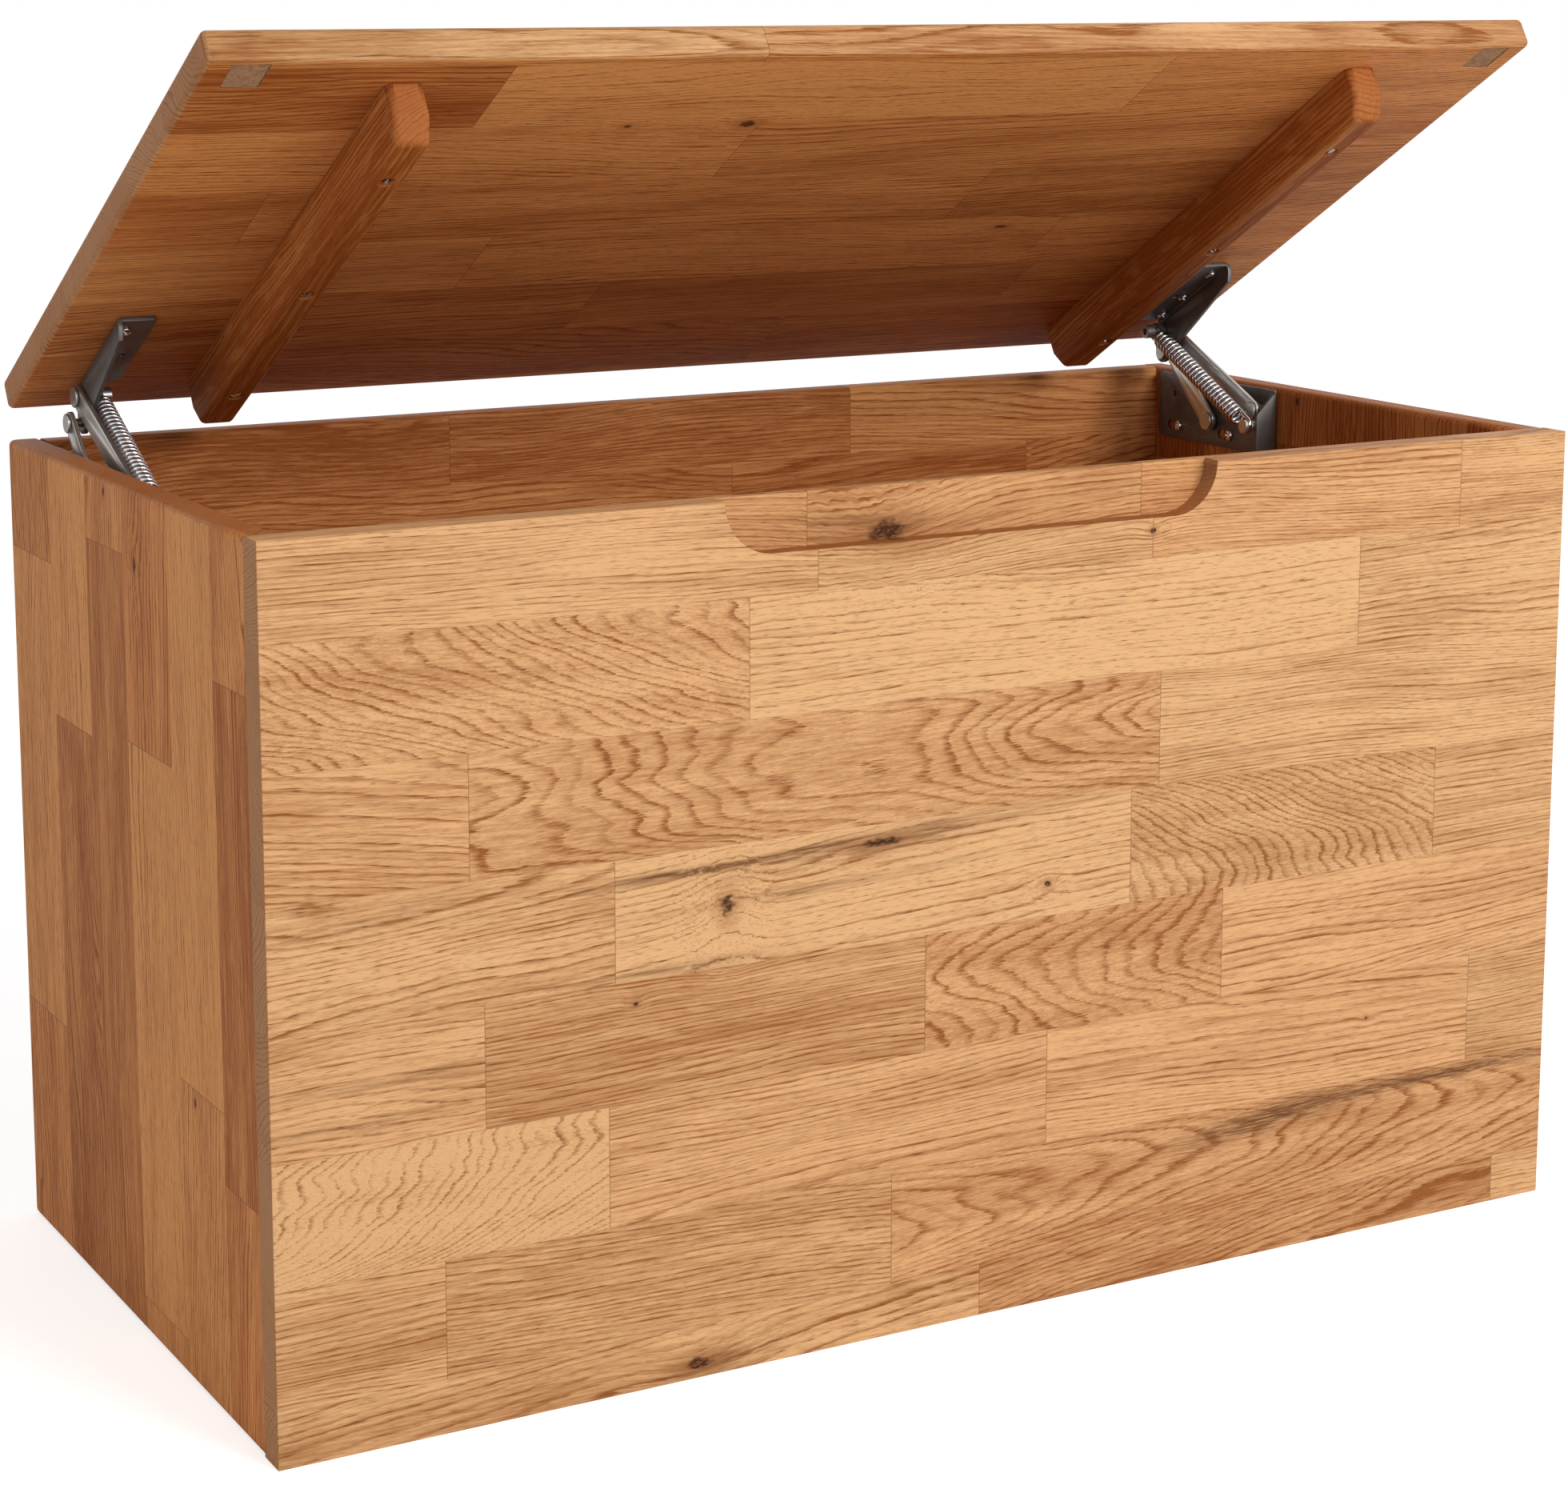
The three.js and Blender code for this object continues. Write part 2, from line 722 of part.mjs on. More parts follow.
// Lid group: its children are placed as with the lid shut, and the group opens them
const lid = new THREE.Group();
lid.position.set(0, upperPinOpen.x, upperPinOpen.y);
lid.rotation.x = lidTurn;
chest.add(lid);
const lidShut = new THREE.Group();
lidShut.position.set(0, -upperPinShut.x, -upperPinShut.y);
lid.add(lidShut);

const battenFrontY = innerFrontY + battenFrontClearance;
const battenRearY = backPanelY - battenBackClearance;
const battenMiddleY = (battenFrontY + battenRearY) / 2;
const battenTopZ = lidUnderZ - seamGap;
const battenBottomZ = battenTopZ - battenHeight;
const battenScrewZ = battenBottomZ + counterboreDepth;
const bracketTopZ = lidUnderZ - seamGap;
const bracketRearY = upperPinShut.x;
const bracketFrontY = bracketRearY - bracketLength;
const flangeRearY = bracketFrontY + bracketFlangeLength;
const bracketScrewYs = bracketScrewShares.map((share) => bracketFrontY + share * bracketFlangeLength);

function battenScrewYs() {
  return [battenFrontY + battenScrewFromEnd, battenMiddleY, battenRearY - battenScrewFromEnd];
}

function battenX(side) {
  return -side * (sideX - battenFromSide - battenWidth / 2);
}

function bracketScrewX(side) {
  return -side * (innerX - bracketLayer - bracketScrewFromFold);
}

function feltBox(side, depth, clearance) {
  const nearX = -side * (sideX - feltFromSide + clearance);
  const farX = -side * (sideX - feltFromSide - feltWidth - clearance);
  const frontEdge = frontY - lidOverhangFront + feltFromFront;
  return [
    [Math.min(nearX, farX), frontEdge - clearance, depth],
    [Math.max(nearX, farX), frontEdge + feltLength + clearance],
  ];
}

const lidBoard = roundedBoxBetween(
  [-lidWidth / 2, frontY - lidOverhangFront, lidUnderZ],
  [lidWidth / 2, backY, lidUnderZ + lidThickness],
  boardRounding,
);
const lidTools = [];
for (const { side } of hinges) {
  const [pocketLow, pocketHigh] = feltBox(side, lidUnderZ - overrun, seamGap);
  lidTools.push(boxBetween(pocketLow, [...pocketHigh, lidUnderZ + feltPocketDepth]));
  for (const y of battenScrewYs()) {
    lidTools.push(screwHole([battenX(side), y, battenScrewZ], [0, 0, 1], battenScrewLength));
  }
  for (const y of bracketScrewYs) {
    const z = bracketTopZ - bracketThickness;
    lidTools.push(screwHole([bracketScrewX(side), y, z], [0, 0, 1], bracketScrewLength));
  }
}
addMesh(lidShut, 'lid_panel', cut(lidBoard, lidTools), oak);

// Batten: an outline in Y and Z with sloping noses, screwed up through counterbores
function battenGeometry(side) {
  const shape = new THREE.Shape();
  shape.moveTo(battenFrontY, battenTopZ);
  shape.lineTo(battenFrontY, battenBottomZ + battenNoseRise);
  shape.lineTo(battenFrontY + battenNoseRun, battenBottomZ);
  shape.lineTo(battenRearY - battenNoseRun, battenBottomZ);
  shape.lineTo(battenRearY, battenBottomZ + battenNoseRise);
  shape.lineTo(battenRearY, battenTopZ);
  const body = new THREE.ExtrudeGeometry(shape, {
    depth: battenWidth - 2 * battenRounding,
    bevelEnabled: true,
    bevelThickness: battenRounding,
    bevelSize: battenRounding,
    bevelOffset: -battenRounding,
    bevelSegments: edgeSegments,
  });
  body.applyMatrix4(new THREE.Matrix4().makeBasis(
    new THREE.Vector3(0, 1, 0),
    new THREE.Vector3(0, 0, 1),
    new THREE.Vector3(1, 0, 0),
  ));
  body.translate(battenX(side) - battenWidth / 2 + battenRounding, 0, 0);
  const tools = [];
  for (const y of battenScrewYs()) {
    tools.push(screwHole([battenX(side), y, battenScrewZ], [0, 0, 1], battenScrewLength));
    const bore = new THREE.CylinderGeometry(
      counterboreRadius,
      counterboreRadius,
      counterboreDepth + overrun,
      roundSides,
    );
    bore.rotateX(Math.PI / 2);
    bore.translate(battenX(side), y, battenScrewZ - (counterboreDepth + overrun) / 2);
    tools.push(bore);
  }
  return cut(body, tools);
}

// Lid bracket: an upright cheek that carries both pins, and a flange screwed to the lid
function cheekOutline() {
  const shape = new THREE.Shape();
  const upper = upperPinShut;
  const lower = lowerPinShut;
  const flangeZ = bracketTopZ;
  shape.moveTo(bracketFrontY, flangeZ);
  shape.lineTo(bracketFrontY, flangeZ - bracketFrontDepth);
  shape.lineTo(bracketFrontY + bracketBevelRun, flangeZ - bracketFrontDepth - bracketBevelDrop);
  shape.lineTo(upper.x - bracketUpperRadius, flangeZ - bracketTipDepth);
  shape.lineTo(lower.x - bracketLowerRadius / 2, lower.y - bracketLowerRadius);
  shape.absarc(lower.x, lower.y, bracketLowerRadius, -Math.PI / 2, 0, false);
  shape.absarc(upper.x, upper.y, bracketUpperRadius, 0, Math.PI / 2, false);
  shape.lineTo(upper.x - bracketUpperRadius, flangeZ);
  return shape;
}

function bracketGeometry(side) {
  const cheek = slab(cheekOutline(), bracketLayer, bracketLayer + bracketThickness, side);
  const edge = bracketLayer + bracketFlangeWidth;
  const corner = bracketFlangeCorner;
  const outline = new THREE.Shape();
  outline.moveTo(bracketLayer, bracketFrontY);
  outline.lineTo(edge - corner / 2, bracketFrontY);
  outline.lineTo(edge, bracketFrontY + corner / 2);
  outline.lineTo(edge, flangeRearY - corner);
  outline.absarc(edge - corner, flangeRearY - corner, corner, 0, Math.PI / 2, false);
  outline.lineTo(bracketLayer, flangeRearY);
  const flange = new THREE.ExtrudeGeometry(outline, {
    depth: bracketThickness,
    bevelEnabled: false,
    curveSegments: roundSides / 2,
  });
  flange.translate(0, 0, bracketTopZ - bracketThickness);
  if (side < 0) {
    flange.scale(-1, 1, 1);
    flipFaces(flange);
  }
  const tools = [
    { at: upperPinShut, radius: rivetRadius + rivetClearance },
    { at: lowerPinShut, radius: lowerPinRadius + rivetClearance },
  ].map(({ at, radius }) => {
    const hole = disc(-overrun, bracketLayer + bracketThickness + overrun, radius, side);
    hole.translate(0, at.x, at.y);
    return hole;
  });
  for (const y of bracketScrewYs) {
    const x = side * (bracketLayer + bracketScrewFromFold);
    const z = bracketTopZ - bracketThickness - overrun;
    tools.push(screwHole([x, y, z], [0, 0, 1], bracketThickness + 2 * overrun));
  }
  const spareHole = new THREE.CylinderGeometry(
    bracketHoleRadius,
    bracketHoleRadius,
    bracketThickness + 2 * overrun,
    screwSides,
  );
  spareHole.rotateX(Math.PI / 2);
  spareHole.translate(
    side * (edge - bracketHoleFromEdge),
    bracketFrontY + bracketHoleShare * bracketFlangeLength,
    bracketTopZ - bracketThickness / 2,
  );
  tools.push(spareHole);
  return cut(join([cheek, flange]), tools);
}

// Turns every face of a mirrored geometry round, so that it points out again
function flipFaces(geometry) {
  const position = geometry.attributes.position;
  const corner = new THREE.Vector3();
  const other = new THREE.Vector3();
  for (let face = 0; face < position.count; face += 3) {
    corner.fromBufferAttribute(position, face + 1);
    other.fromBufferAttribute(position, face + 2);
    position.setXYZ(face + 1, other.x, other.y, other.z);
    position.setXYZ(face + 2, corner.x, corner.y, corner.z);
  }
}

for (const { word, side } of hinges) {
  addMesh(lidShut, 'batten_' + word, battenGeometry(side), oak);
  battenScrewYs().forEach((y, index) => {
    const point = [battenX(side), y, battenScrewZ - seamGap];
    const screw = screwAt(point, [0, 0, 1], battenScrewLength);
    addMesh(lidShut, 'batten_screw_' + word + '_' + (index + 1), screw, brightSteel);
  });

  const [padLow, padHigh] = feltBox(side, lidUnderZ + feltRecess, 0);
  const pad = boxBetween(padLow, [...padHigh, lidUnderZ + feltPocketDepth - seamGap]);
  addMesh(lidShut, 'felt_pad_' + word, pad, felt);

  // Pieces of this hinge that the body carries
  const wall = new THREE.Group();
  wall.position.x = -side * innerX;
  chest.add(wall);
  addMesh(wall, 'hinge_plate_' + word, plateGeometry(side), steel);
  slotRows.forEach(({ slotY, slotZ }, index) => {
    const point = [side * (plateThickness + seamGap), slotY - slotTravel, slotZ];
    const screw = screwAt(point, [-side, 0, 0], plateScrewLength);
    addMesh(wall, 'plate_screw_' + word + '_' + (index + 1), screw, brightSteel);
  });

  const longRivet = addMesh(wall, 'long_arm_rivet_' + word, turned(longRivetProfile, side), steel);
  longRivet.position.set(0, longPivot.x, longPivot.y);
  const shortRivet = addMesh(wall, 'short_arm_rivet_' + word, turned(shortRivetProfile, side), steel);
  shortRivet.position.set(0, shortPivot.x, shortPivot.y);
  const pin = addMesh(wall, 'spring_pin_' + word, turned(springPinProfile, side), steel);
  pin.position.set(0, springPin.x, springPin.y);

  // Long arm, with the pin at its upper end
  const armRadii = [rivetRadius + rivetClearance, rivetRadius + rivetClearance];
  const longArm = addMesh(
    wall,
    'long_arm_' + word,
    armGeometry(longArmLength, longArmWidth, longArmLayer, armRadii, side),
    brightSteel,
  );
  longArm.position.set(0, longPivot.x, longPivot.y);
  longArm.rotation.x = longArmOpen;
  const upperPin = addMesh(wall, 'upper_pivot_pin_' + word, turned(upperPinProfile, side), steel);
  upperPin.position.set(0, upperPinOpen.x, upperPinOpen.y);

  // Short arm, whose upper hole is wide because that pivot is left free
  const shortRadii = [rivetRadius + rivetClearance, lowerPinRadius + openPivotClearance];
  const shortArm = addMesh(
    wall,
    'short_arm_' + word,
    armGeometry(shortArmLength, shortArmWidth, shortArmLayer, shortRadii, side),
    steel,
  );
  shortArm.position.set(0, shortPivot.x, shortPivot.y);
  shortArm.rotation.x = shortArmOpen;

  const spring = addMesh(
    wall,
    'lid_spring_' + word,
    tubeGeometry(springPoints(side), wireDiameter / 2, wireSides),
    brightSteel,
  );
  spring.position.set(side * springLayer, springPin.x, springPin.y);
  spring.rotation.x = springOpen;

  // Pieces of this hinge that the lid carries
  const onLid = new THREE.Group();
  onLid.position.x = -side * innerX;
  lidShut.add(onLid);
  addMesh(onLid, 'lid_bracket_' + word, bracketGeometry(side), steel);
  bracketScrewYs.forEach((y, index) => {
    const x = side * (bracketLayer + bracketScrewFromFold);
    const point = [x, y, bracketTopZ - bracketThickness - seamGap];
    const screw = screwAt(point, [0, 0, 1], bracketScrewLength);
    addMesh(onLid, 'bracket_screw_' + word + '_' + (index + 1), screw, brightSteel);
  });
  const lowerPin = addMesh(onLid, 'lower_pivot_pin_' + word, turned(lowerPinProfile, side), steel);
  lowerPin.position.set(0, lowerPinShut.x, lowerPinShut.y);
}

export default chest;
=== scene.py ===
"""Oak blanket chest with a lid on sprung linkage hinges."""

import json
import math
import random

import bmesh
import bpy
from bpy.props import FloatProperty, FloatVectorProperty, PointerProperty
from mathutils import Matrix, Vector

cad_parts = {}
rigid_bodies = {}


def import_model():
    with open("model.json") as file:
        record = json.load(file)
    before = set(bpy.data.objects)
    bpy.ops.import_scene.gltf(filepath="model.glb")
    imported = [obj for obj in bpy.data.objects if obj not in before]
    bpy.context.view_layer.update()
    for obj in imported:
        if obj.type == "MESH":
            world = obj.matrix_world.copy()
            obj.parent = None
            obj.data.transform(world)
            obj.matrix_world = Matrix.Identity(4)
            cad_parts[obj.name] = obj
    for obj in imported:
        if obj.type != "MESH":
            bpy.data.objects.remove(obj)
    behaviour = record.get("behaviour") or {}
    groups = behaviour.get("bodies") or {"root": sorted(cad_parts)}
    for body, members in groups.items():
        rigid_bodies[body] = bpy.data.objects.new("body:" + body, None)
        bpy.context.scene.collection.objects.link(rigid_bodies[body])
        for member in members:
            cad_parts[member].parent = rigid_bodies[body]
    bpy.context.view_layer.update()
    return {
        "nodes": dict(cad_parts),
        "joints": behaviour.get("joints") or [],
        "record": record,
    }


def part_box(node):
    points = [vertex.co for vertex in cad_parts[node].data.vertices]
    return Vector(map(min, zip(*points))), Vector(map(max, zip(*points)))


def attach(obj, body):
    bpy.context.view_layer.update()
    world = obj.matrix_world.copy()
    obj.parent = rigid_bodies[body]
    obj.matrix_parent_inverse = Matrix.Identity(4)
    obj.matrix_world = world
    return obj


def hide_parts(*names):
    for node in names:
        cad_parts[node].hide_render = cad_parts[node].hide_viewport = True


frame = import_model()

bl_info = {
    "name": "Oak blanket chest",
    "version": (1, 0, 0),
    "blender": (4, 5, 0),
    "location": "View3D > Sidebar > Chest",
    "description": "Builds an oak blanket chest with sprung lid hinges",
    "category": "Add Mesh",
}

# Indices into a point, and which way is inboard on each side
X, Y, Z = 0, 1, 2
SIDES = {"left": 1, "right": -1}

# Stave rows and their butt joints, in metres from the board's low corner
FRONT_ROWS = [0.029, 0.091, 0.155, 0.219, 0.283, 0.347, 0.410]
FRONT_JOINTS = [
    [0.404, 0.764],
    [0.090, 0.348],
    [0.181, 0.446, 0.741],
    [0.113, 0.368, 0.562],
    [0.185, 0.499, 0.711],
    [0.106, 0.517],
    [0.262, 0.652],
    [0.302, 0.510, 0.723],
]
SIDE_ROWS = [0.047, 0.111, 0.180, 0.242, 0.306]
SIDE_JOINTS = [[0.125, 0.382], [0.162], [0.02, 0.325], [0.424], [0.315], [0.134, 0.40]]
LID_ROWS = [0.008, 0.072, 0.137, 0.201, 0.266, 0.330, 0.394]
LID_JOINTS = [[0.30], [0.162, 0.558], [0.329, 0.69], [0.074, 0.512], [0.223, 0.60], [0.318, 0.616],
              [0.13, 0.469], [0.41]]
BACK_ROWS = [0.033, 0.097, 0.161, 0.225, 0.289, 0.353, 0.417]
BACK_JOINTS = [[0.3], [0.15, 0.55], [0.38], [0.2, 0.62], [0.46], [0.1, 0.52], [0.439, 0.66], [0.246, 0.525]]
BOTTOM_ROWS = [0.06 * count for count in range(1, 7)]
BOTTOM_JOINTS = [[0.3], [0.5], [0.2], [0.6], [0.35], [0.55], [0.25]]

# Staves row by row, from the board's low corner: how dark, from -1 pale to 1 dark, and how sawn
FLAT, RIFT, QUARTER = "flat", "rift", "quarter"
SIDE_STAVES = [
    [(0.35, RIFT), (0.95, QUARTER), (0.15, RIFT)],
    [(0.10, RIFT), (-0.55, RIFT)],
    [(0.0, QUARTER), (-0.45, QUARTER), (0.30, RIFT)],
    [(0.70, QUARTER), (0.0, RIFT)],
    [(0.90, RIFT), (-0.30, RIFT)],
    [(0.35, RIFT), (-0.10, QUARTER), (0.65, RIFT)],
]
LID_STAVES = [
    [(0.20, QUARTER), (0.10, QUARTER)],
    [(1.10, RIFT), (-0.45, RIFT), (0.05, RIFT)],
    [(-0.10, RIFT), (0.30, RIFT), (0.45, QUARTER)],
    [(0.50, QUARTER), (0.25, QUARTER), (0.65, RIFT)],
    [(0.20, QUARTER), (-0.10, QUARTER), (0.05, RIFT)],
    [(0.75, RIFT), (0.80, QUARTER), (0.40, QUARTER)],
    [(0.55, QUARTER), (1.05, RIFT), (0.95, QUARTER)],
    [(0.60, QUARTER), (0.80, QUARTER)],
]
BACK_STAVES = [
    [(1.0, RIFT), (0.8, QUARTER)],
    [(0.9, QUARTER), (1.2, RIFT), (0.7, RIFT)],
    [(1.2, FLAT), (0.8, QUARTER)],
    [(0.8, RIFT), (1.1, QUARTER), (1.0, FLAT)],
    [(1.0, QUARTER), (1.3, RIFT)],
    [(0.9, RIFT), (1.1, QUARTER), (0.8, RIFT)],
    [(1.1, RIFT), (1.5, RIFT), (0.9, RIFT)],
    [(1.4, RIFT), (1.3, QUARTER), (0.5, RIFT)],
]
FRONT_STAVES = [
    [(0.25, RIFT), (0.75, RIFT), (0.05, QUARTER)],
    [(0.25, QUARTER), (0.35, RIFT), (0.40, FLAT)],
    [(-0.45, FLAT), (0.10, RIFT), (-0.05, RIFT), (0.20, QUARTER)],
    [(0.10, QUARTER), (0.50, QUARTER), (0.45, FLAT), (0.0, RIFT)],
    [(0.05, RIFT), (-0.35, RIFT), (0.35, FLAT), (0.10, QUARTER)],
    [(0.20, RIFT), (0.35, FLAT), (-0.05, QUARTER)],
    [(0.10, FLAT), (-0.50, QUARTER), (-0.05, QUARTER)],
    [(0.0, QUARTER), (0.20, RIFT), (0.10, QUARTER), (-0.10, QUARTER)],
]
BATTEN_STAVES = [[(1.5, QUARTER)]]

# Knots: centre in the board's own place, size, stretch along the grain
FRONT_KNOTS = [
    ((0.350, 0.4355, 0.012), 0.0070, 2.1),
    ((0.249, 0.251, 0.0), 0.0075, 0.62),
    ((0.341, 0.273, 0.0), 0.0030, 5.5),
    ((0.445, 0.237, 0.0), 0.0022, 1.3),
    ((0.232, 0.008, 0.0), 0.0042, 2.6),
    ((0.510, 0.425, 0.0), 0.0022, 1.2),
    ((0.196, 0.207, 0.0), 0.0016, 1.2),
    ((0.666, 0.128, 0.0), 0.0012, 1.4),
]
SIDE_KNOTS = [
    ((0.421, 0.162, 0.0), 0.0030, 1.9),
    ((0.453, 0.209, 0.0), 0.0020, 1.5),
    ((0.155, 0.090, 0.0), 0.0018, 2.0),
]
LID_KNOTS = [
    ((0.322, 0.075, 0.0), 0.0035, 1.8),
    ((0.251, 0.075, 0.0), 0.0020, 1.6),
    ((0.560, 0.215, 0.0), 0.0025, 2.5),
]
# Dark streaks: centre in the board's own place, half length and half width, rise along the grain, strength
FRONT_STREAKS = [
    ((0.600, 0.080, 0.0), (0.060, 0.0065), 0.09, 1.9),
    ((0.720, 0.0855, 0.0), (0.090, 0.0036), 0.02, 1.7),
    ((0.345, 0.274, 0.0), (0.070, 0.0055), 0.06, 1.2),
    ((0.225, 0.2718, 0.0), (0.050, 0.0022), 0.02, 1.6),
    ((0.310, 0.2755, 0.0), (0.120, 0.0014), 0.055, 1.4),
    ((0.215, 0.222, 0.0), (0.060, 0.0030), 0.02, 0.9),
    ((0.300, 0.254, 0.0), (0.090, 0.0030), 0.03, 0.7),
    ((0.060, 0.188, 0.0), (0.060, 0.0045), 0.03, 0.7),
    ((0.030, 0.168, 0.0), (0.070, 0.0035), 0.03, 0.6),
    ((0.050, 0.270, 0.0), (0.060, 0.0040), 0.10, 0.5),
    ((0.240, 0.006, 0.0), (0.040, 0.0070), 0.10, 0.9),
    ((0.335, 0.441, 0.012), (0.050, 0.0050), -0.05, 0.9),
]


def length_setting(name, description, default, low, high):
    return FloatProperty(name=name, description=description, default=default, min=low, max=high,
                         unit="LENGTH")


def colour_setting(name, description, default):
    return FloatVectorProperty(name=name, description=description, default=default, min=0, max=1, size=3,
                               subtype="COLOR")


class ChestSizes(bpy.types.PropertyGroup):
    """Sizes of the boards' visible finish and of the hinges' small parts"""

    edge_round: length_setting("Edge rounding", "Radius of the boards' outer edges", 0.0035, 0.0005, 0.008)
    edge_ease: length_setting(
        "Edge easing", "Radius of the edges that meet another board", 0.0008, 0.0002, 0.003)
    recess_half_width: length_setting(
        "Recess half width", "Half the width of the finger recess", 0.152, 0.05, 0.3)
    recess_height: length_setting(
        "Recess height", "How far the finger recess reaches below the rim", 0.0285, 0.01, 0.06)
    recess_depth: length_setting("Recess depth", "How deep the finger recess is cut", 0.012, 0.004, 0.016)
    ring_width: length_setting("Ring width", "Mean width of one growth ring", 0.0032, 0.001, 0.01)
    wire_thickness: length_setting("Wire thickness", "Diameter of the spring wire", 0.0024, 0.001, 0.003)
    coil_width: length_setting("Coil width", "Outer diameter of the springs", 0.012, 0.006, 0.014)
    sheet_thickness: length_setting("Sheet thickness", "Thickness of the lid brackets", 0.0025, 0.001, 0.004)
    screw_head: length_setting("Screw head", "Diameter of the screw heads", 0.0072, 0.004, 0.01)


class ChestColours(bpy.types.PropertyGroup):
    """Colours of the wood, metal and felt"""

    oak_pale: colour_setting("Pale oak", "Colour between the growth rings", (0.772, 0.448, 0.212))
    oak_dark: colour_setting("Dark oak", "Colour of the growth rings", (0.325, 0.112, 0.027))
    oak_pore: colour_setting("Pores", "Colour in the open pores", (0.165, 0.056, 0.015))
    oak_end: colour_setting("End grain", "Colour of the sawn ends", (0.42, 0.190, 0.080))
    oak_ray: colour_setting("Rays", "Colour of the pale rays across the grain", (0.80, 0.50, 0.25))
    # Painted shade: a warm, darker tint for faces that get little light, such as the lid's underside and the
    # chest's inner faces
    oak_unfaded: colour_setting(
        "Unfaded oak", "Tint of the faces that see little daylight", (1.0, 0.72, 0.46))
    oak_rosy: colour_setting("Rosy oak", "Tint of the warmest staves", (1.0, 0.89, 0.84))
    streak: colour_setting("Streak", "Colour of the dark streaks", (0.175, 0.070, 0.024))
    knot_halo: colour_setting("Knot halo", "Colour round a knot", (0.34, 0.135, 0.045))
    knot_heart: colour_setting("Knot heart", "Colour of a knot's heart", (0.036, 0.013, 0.006))
    knot_crack: colour_setting("Knot cracks", "Colour between the cracks of a knot", (0.20, 0.070, 0.024))
    plate: colour_setting(
        "Dark plate", "Colour of the fixed plates and the lid brackets", (0.180, 0.170, 0.162))
    steel: colour_setting("Satin steel", "Colour of the arms, pins and rivets", (0.60, 0.59, 0.555))
    bright: colour_setting("Bright steel", "Colour of the springs and screws", (0.55, 0.56, 0.59))
    felt: colour_setting("Felt", "Colour of the felt pads", (0.36, 0.19, 0.092))


def sizes():
    return bpy.context.scene.chest_sizes


def colours():
    return bpy.context.scene.chest_colours


# Linkage places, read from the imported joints. Each is a point (0, y, z).
def joint(name):
    return next(j for j in frame["joints"] if j["name"] == name)


def pivot(name):
    return Vector(joint(name)["pos_m"]) * Vector((0, 1, 1))


def turn_about_x(degrees):
    return Matrix.Rotation(math.radians(degrees), 4, "X")


LID_JOINT, ARM_JOINT, SPRING_JOINT = "lid_on_long_arm", "long_arm_left_on_plate", "lid_spring_left_on_pin"
COUPLINGS = {c["joint"]: c["ratio"] for c in frame["record"]["behaviour"]["couplings"]}
LID_TRAVEL = joint(LID_JOINT)["range_deg"][1]
ARM_TURN = LID_TRAVEL * COUPLINGS[ARM_JOINT]
UPPER_PIN, LONG_PIVOT, SPRING_PIN = pivot(LID_JOINT), pivot(ARM_JOINT), pivot(SPRING_JOINT)
SHORT_PIVOT = pivot("short_arm_left_on_plate")
UPPER_PIN_SHUT = LONG_PIVOT + turn_about_x(-ARM_TURN).to_3x3() @ (UPPER_PIN - LONG_PIVOT)
# Takes the shut lid to where it stands open
LID_OPEN = (Matrix.Translation(UPPER_PIN) @ turn_about_x(ARM_TURN - LID_TRAVEL)
            @ Matrix.Translation(-UPPER_PIN_SHUT))


def shut_box(node):
    """Lowest and highest corner of a lid node, with the lid shut."""
    back = LID_OPEN.inverted()
    points = [back @ v.co for v in frame["nodes"][node].data.vertices]
    return tuple(Vector([pick(p[i] for p in points) for i in range(3)]) for pick in (min, max))


def middle(low, high):
    return (Vector(low) + Vector(high)) / 2


# Mesh helpers
TOUCHING = 1e-5
CUT_SNAP = 1e-7
SHARP_DEGREES = 30
EDGE_STEPS = 4


def new_object(name, data):
    obj = bpy.data.objects.new(name, data)
    bpy.context.scene.collection.objects.link(obj)
    return obj


def to_object(name, bm):
    mesh = bpy.data.meshes.new(name)
    bm.to_mesh(mesh)
    bm.free()
    return new_object(name, mesh)


def from_object(obj):
    """An object's mesh, ready to be worked on. The object goes."""
    bm = bmesh.new()
    bm.from_mesh(obj.data)
    bpy.data.objects.remove(obj)
    return bm


def worked(obj, work):
    """Runs the function `work` on an object's own mesh."""
    bm = bmesh.new()
    bm.from_mesh(obj.data)
    work(bm)
    bm.to_mesh(obj.data)
    bm.free()


def face_outwards(bm):
    bmesh.ops.recalc_face_normals(bm, faces=bm.faces)


def baked(obj):
    """Replaces an object's mesh by its evaluated one and drops its modifiers."""
    bpy.context.view_layer.update()
    mesh = bpy.data.meshes.new_from_object(obj.evaluated_get(bpy.context.evaluated_depsgraph_get()))
    if obj.type == "MESH":
        obj.modifiers.clear()
        obj.data = mesh
        return obj
    name = obj.name
    bpy.data.objects.remove(obj)
    return new_object(name, mesh)


def everything(bm):
    return bm.verts[:] + bm.edges[:] + bm.faces[:]


def slice_mesh(bm, parts, point, normal):
    bmesh.ops.bisect_plane(bm, geom=parts, dist=CUT_SNAP, plane_co=point, plane_no=normal)


def prism(points, way):
    """A closed solid: a flat outline pushed along `way`."""
    bm = bmesh.new()
    face = bm.faces.new([bm.verts.new(point) for point in points])
    grown = bmesh.ops.extrude_face_region(bm, geom=[face])["geom"]
    bmesh.ops.translate(bm, vec=way, verts=[g for g in grown if isinstance(g, bmesh.types.BMVert)])
    face_outwards(bm)
    return bm


def box_mesh(low, high):
    bm = bmesh.new()
    bmesh.ops.create_cube(bm, size=1.0)
    bmesh.ops.scale(bm, vec=[b - a for a, b in zip(low, high)], verts=bm.verts)
    bmesh.ops.translate(bm, vec=[(a + b) / 2 for a, b in zip(low, high)], verts=bm.verts)
    return bm


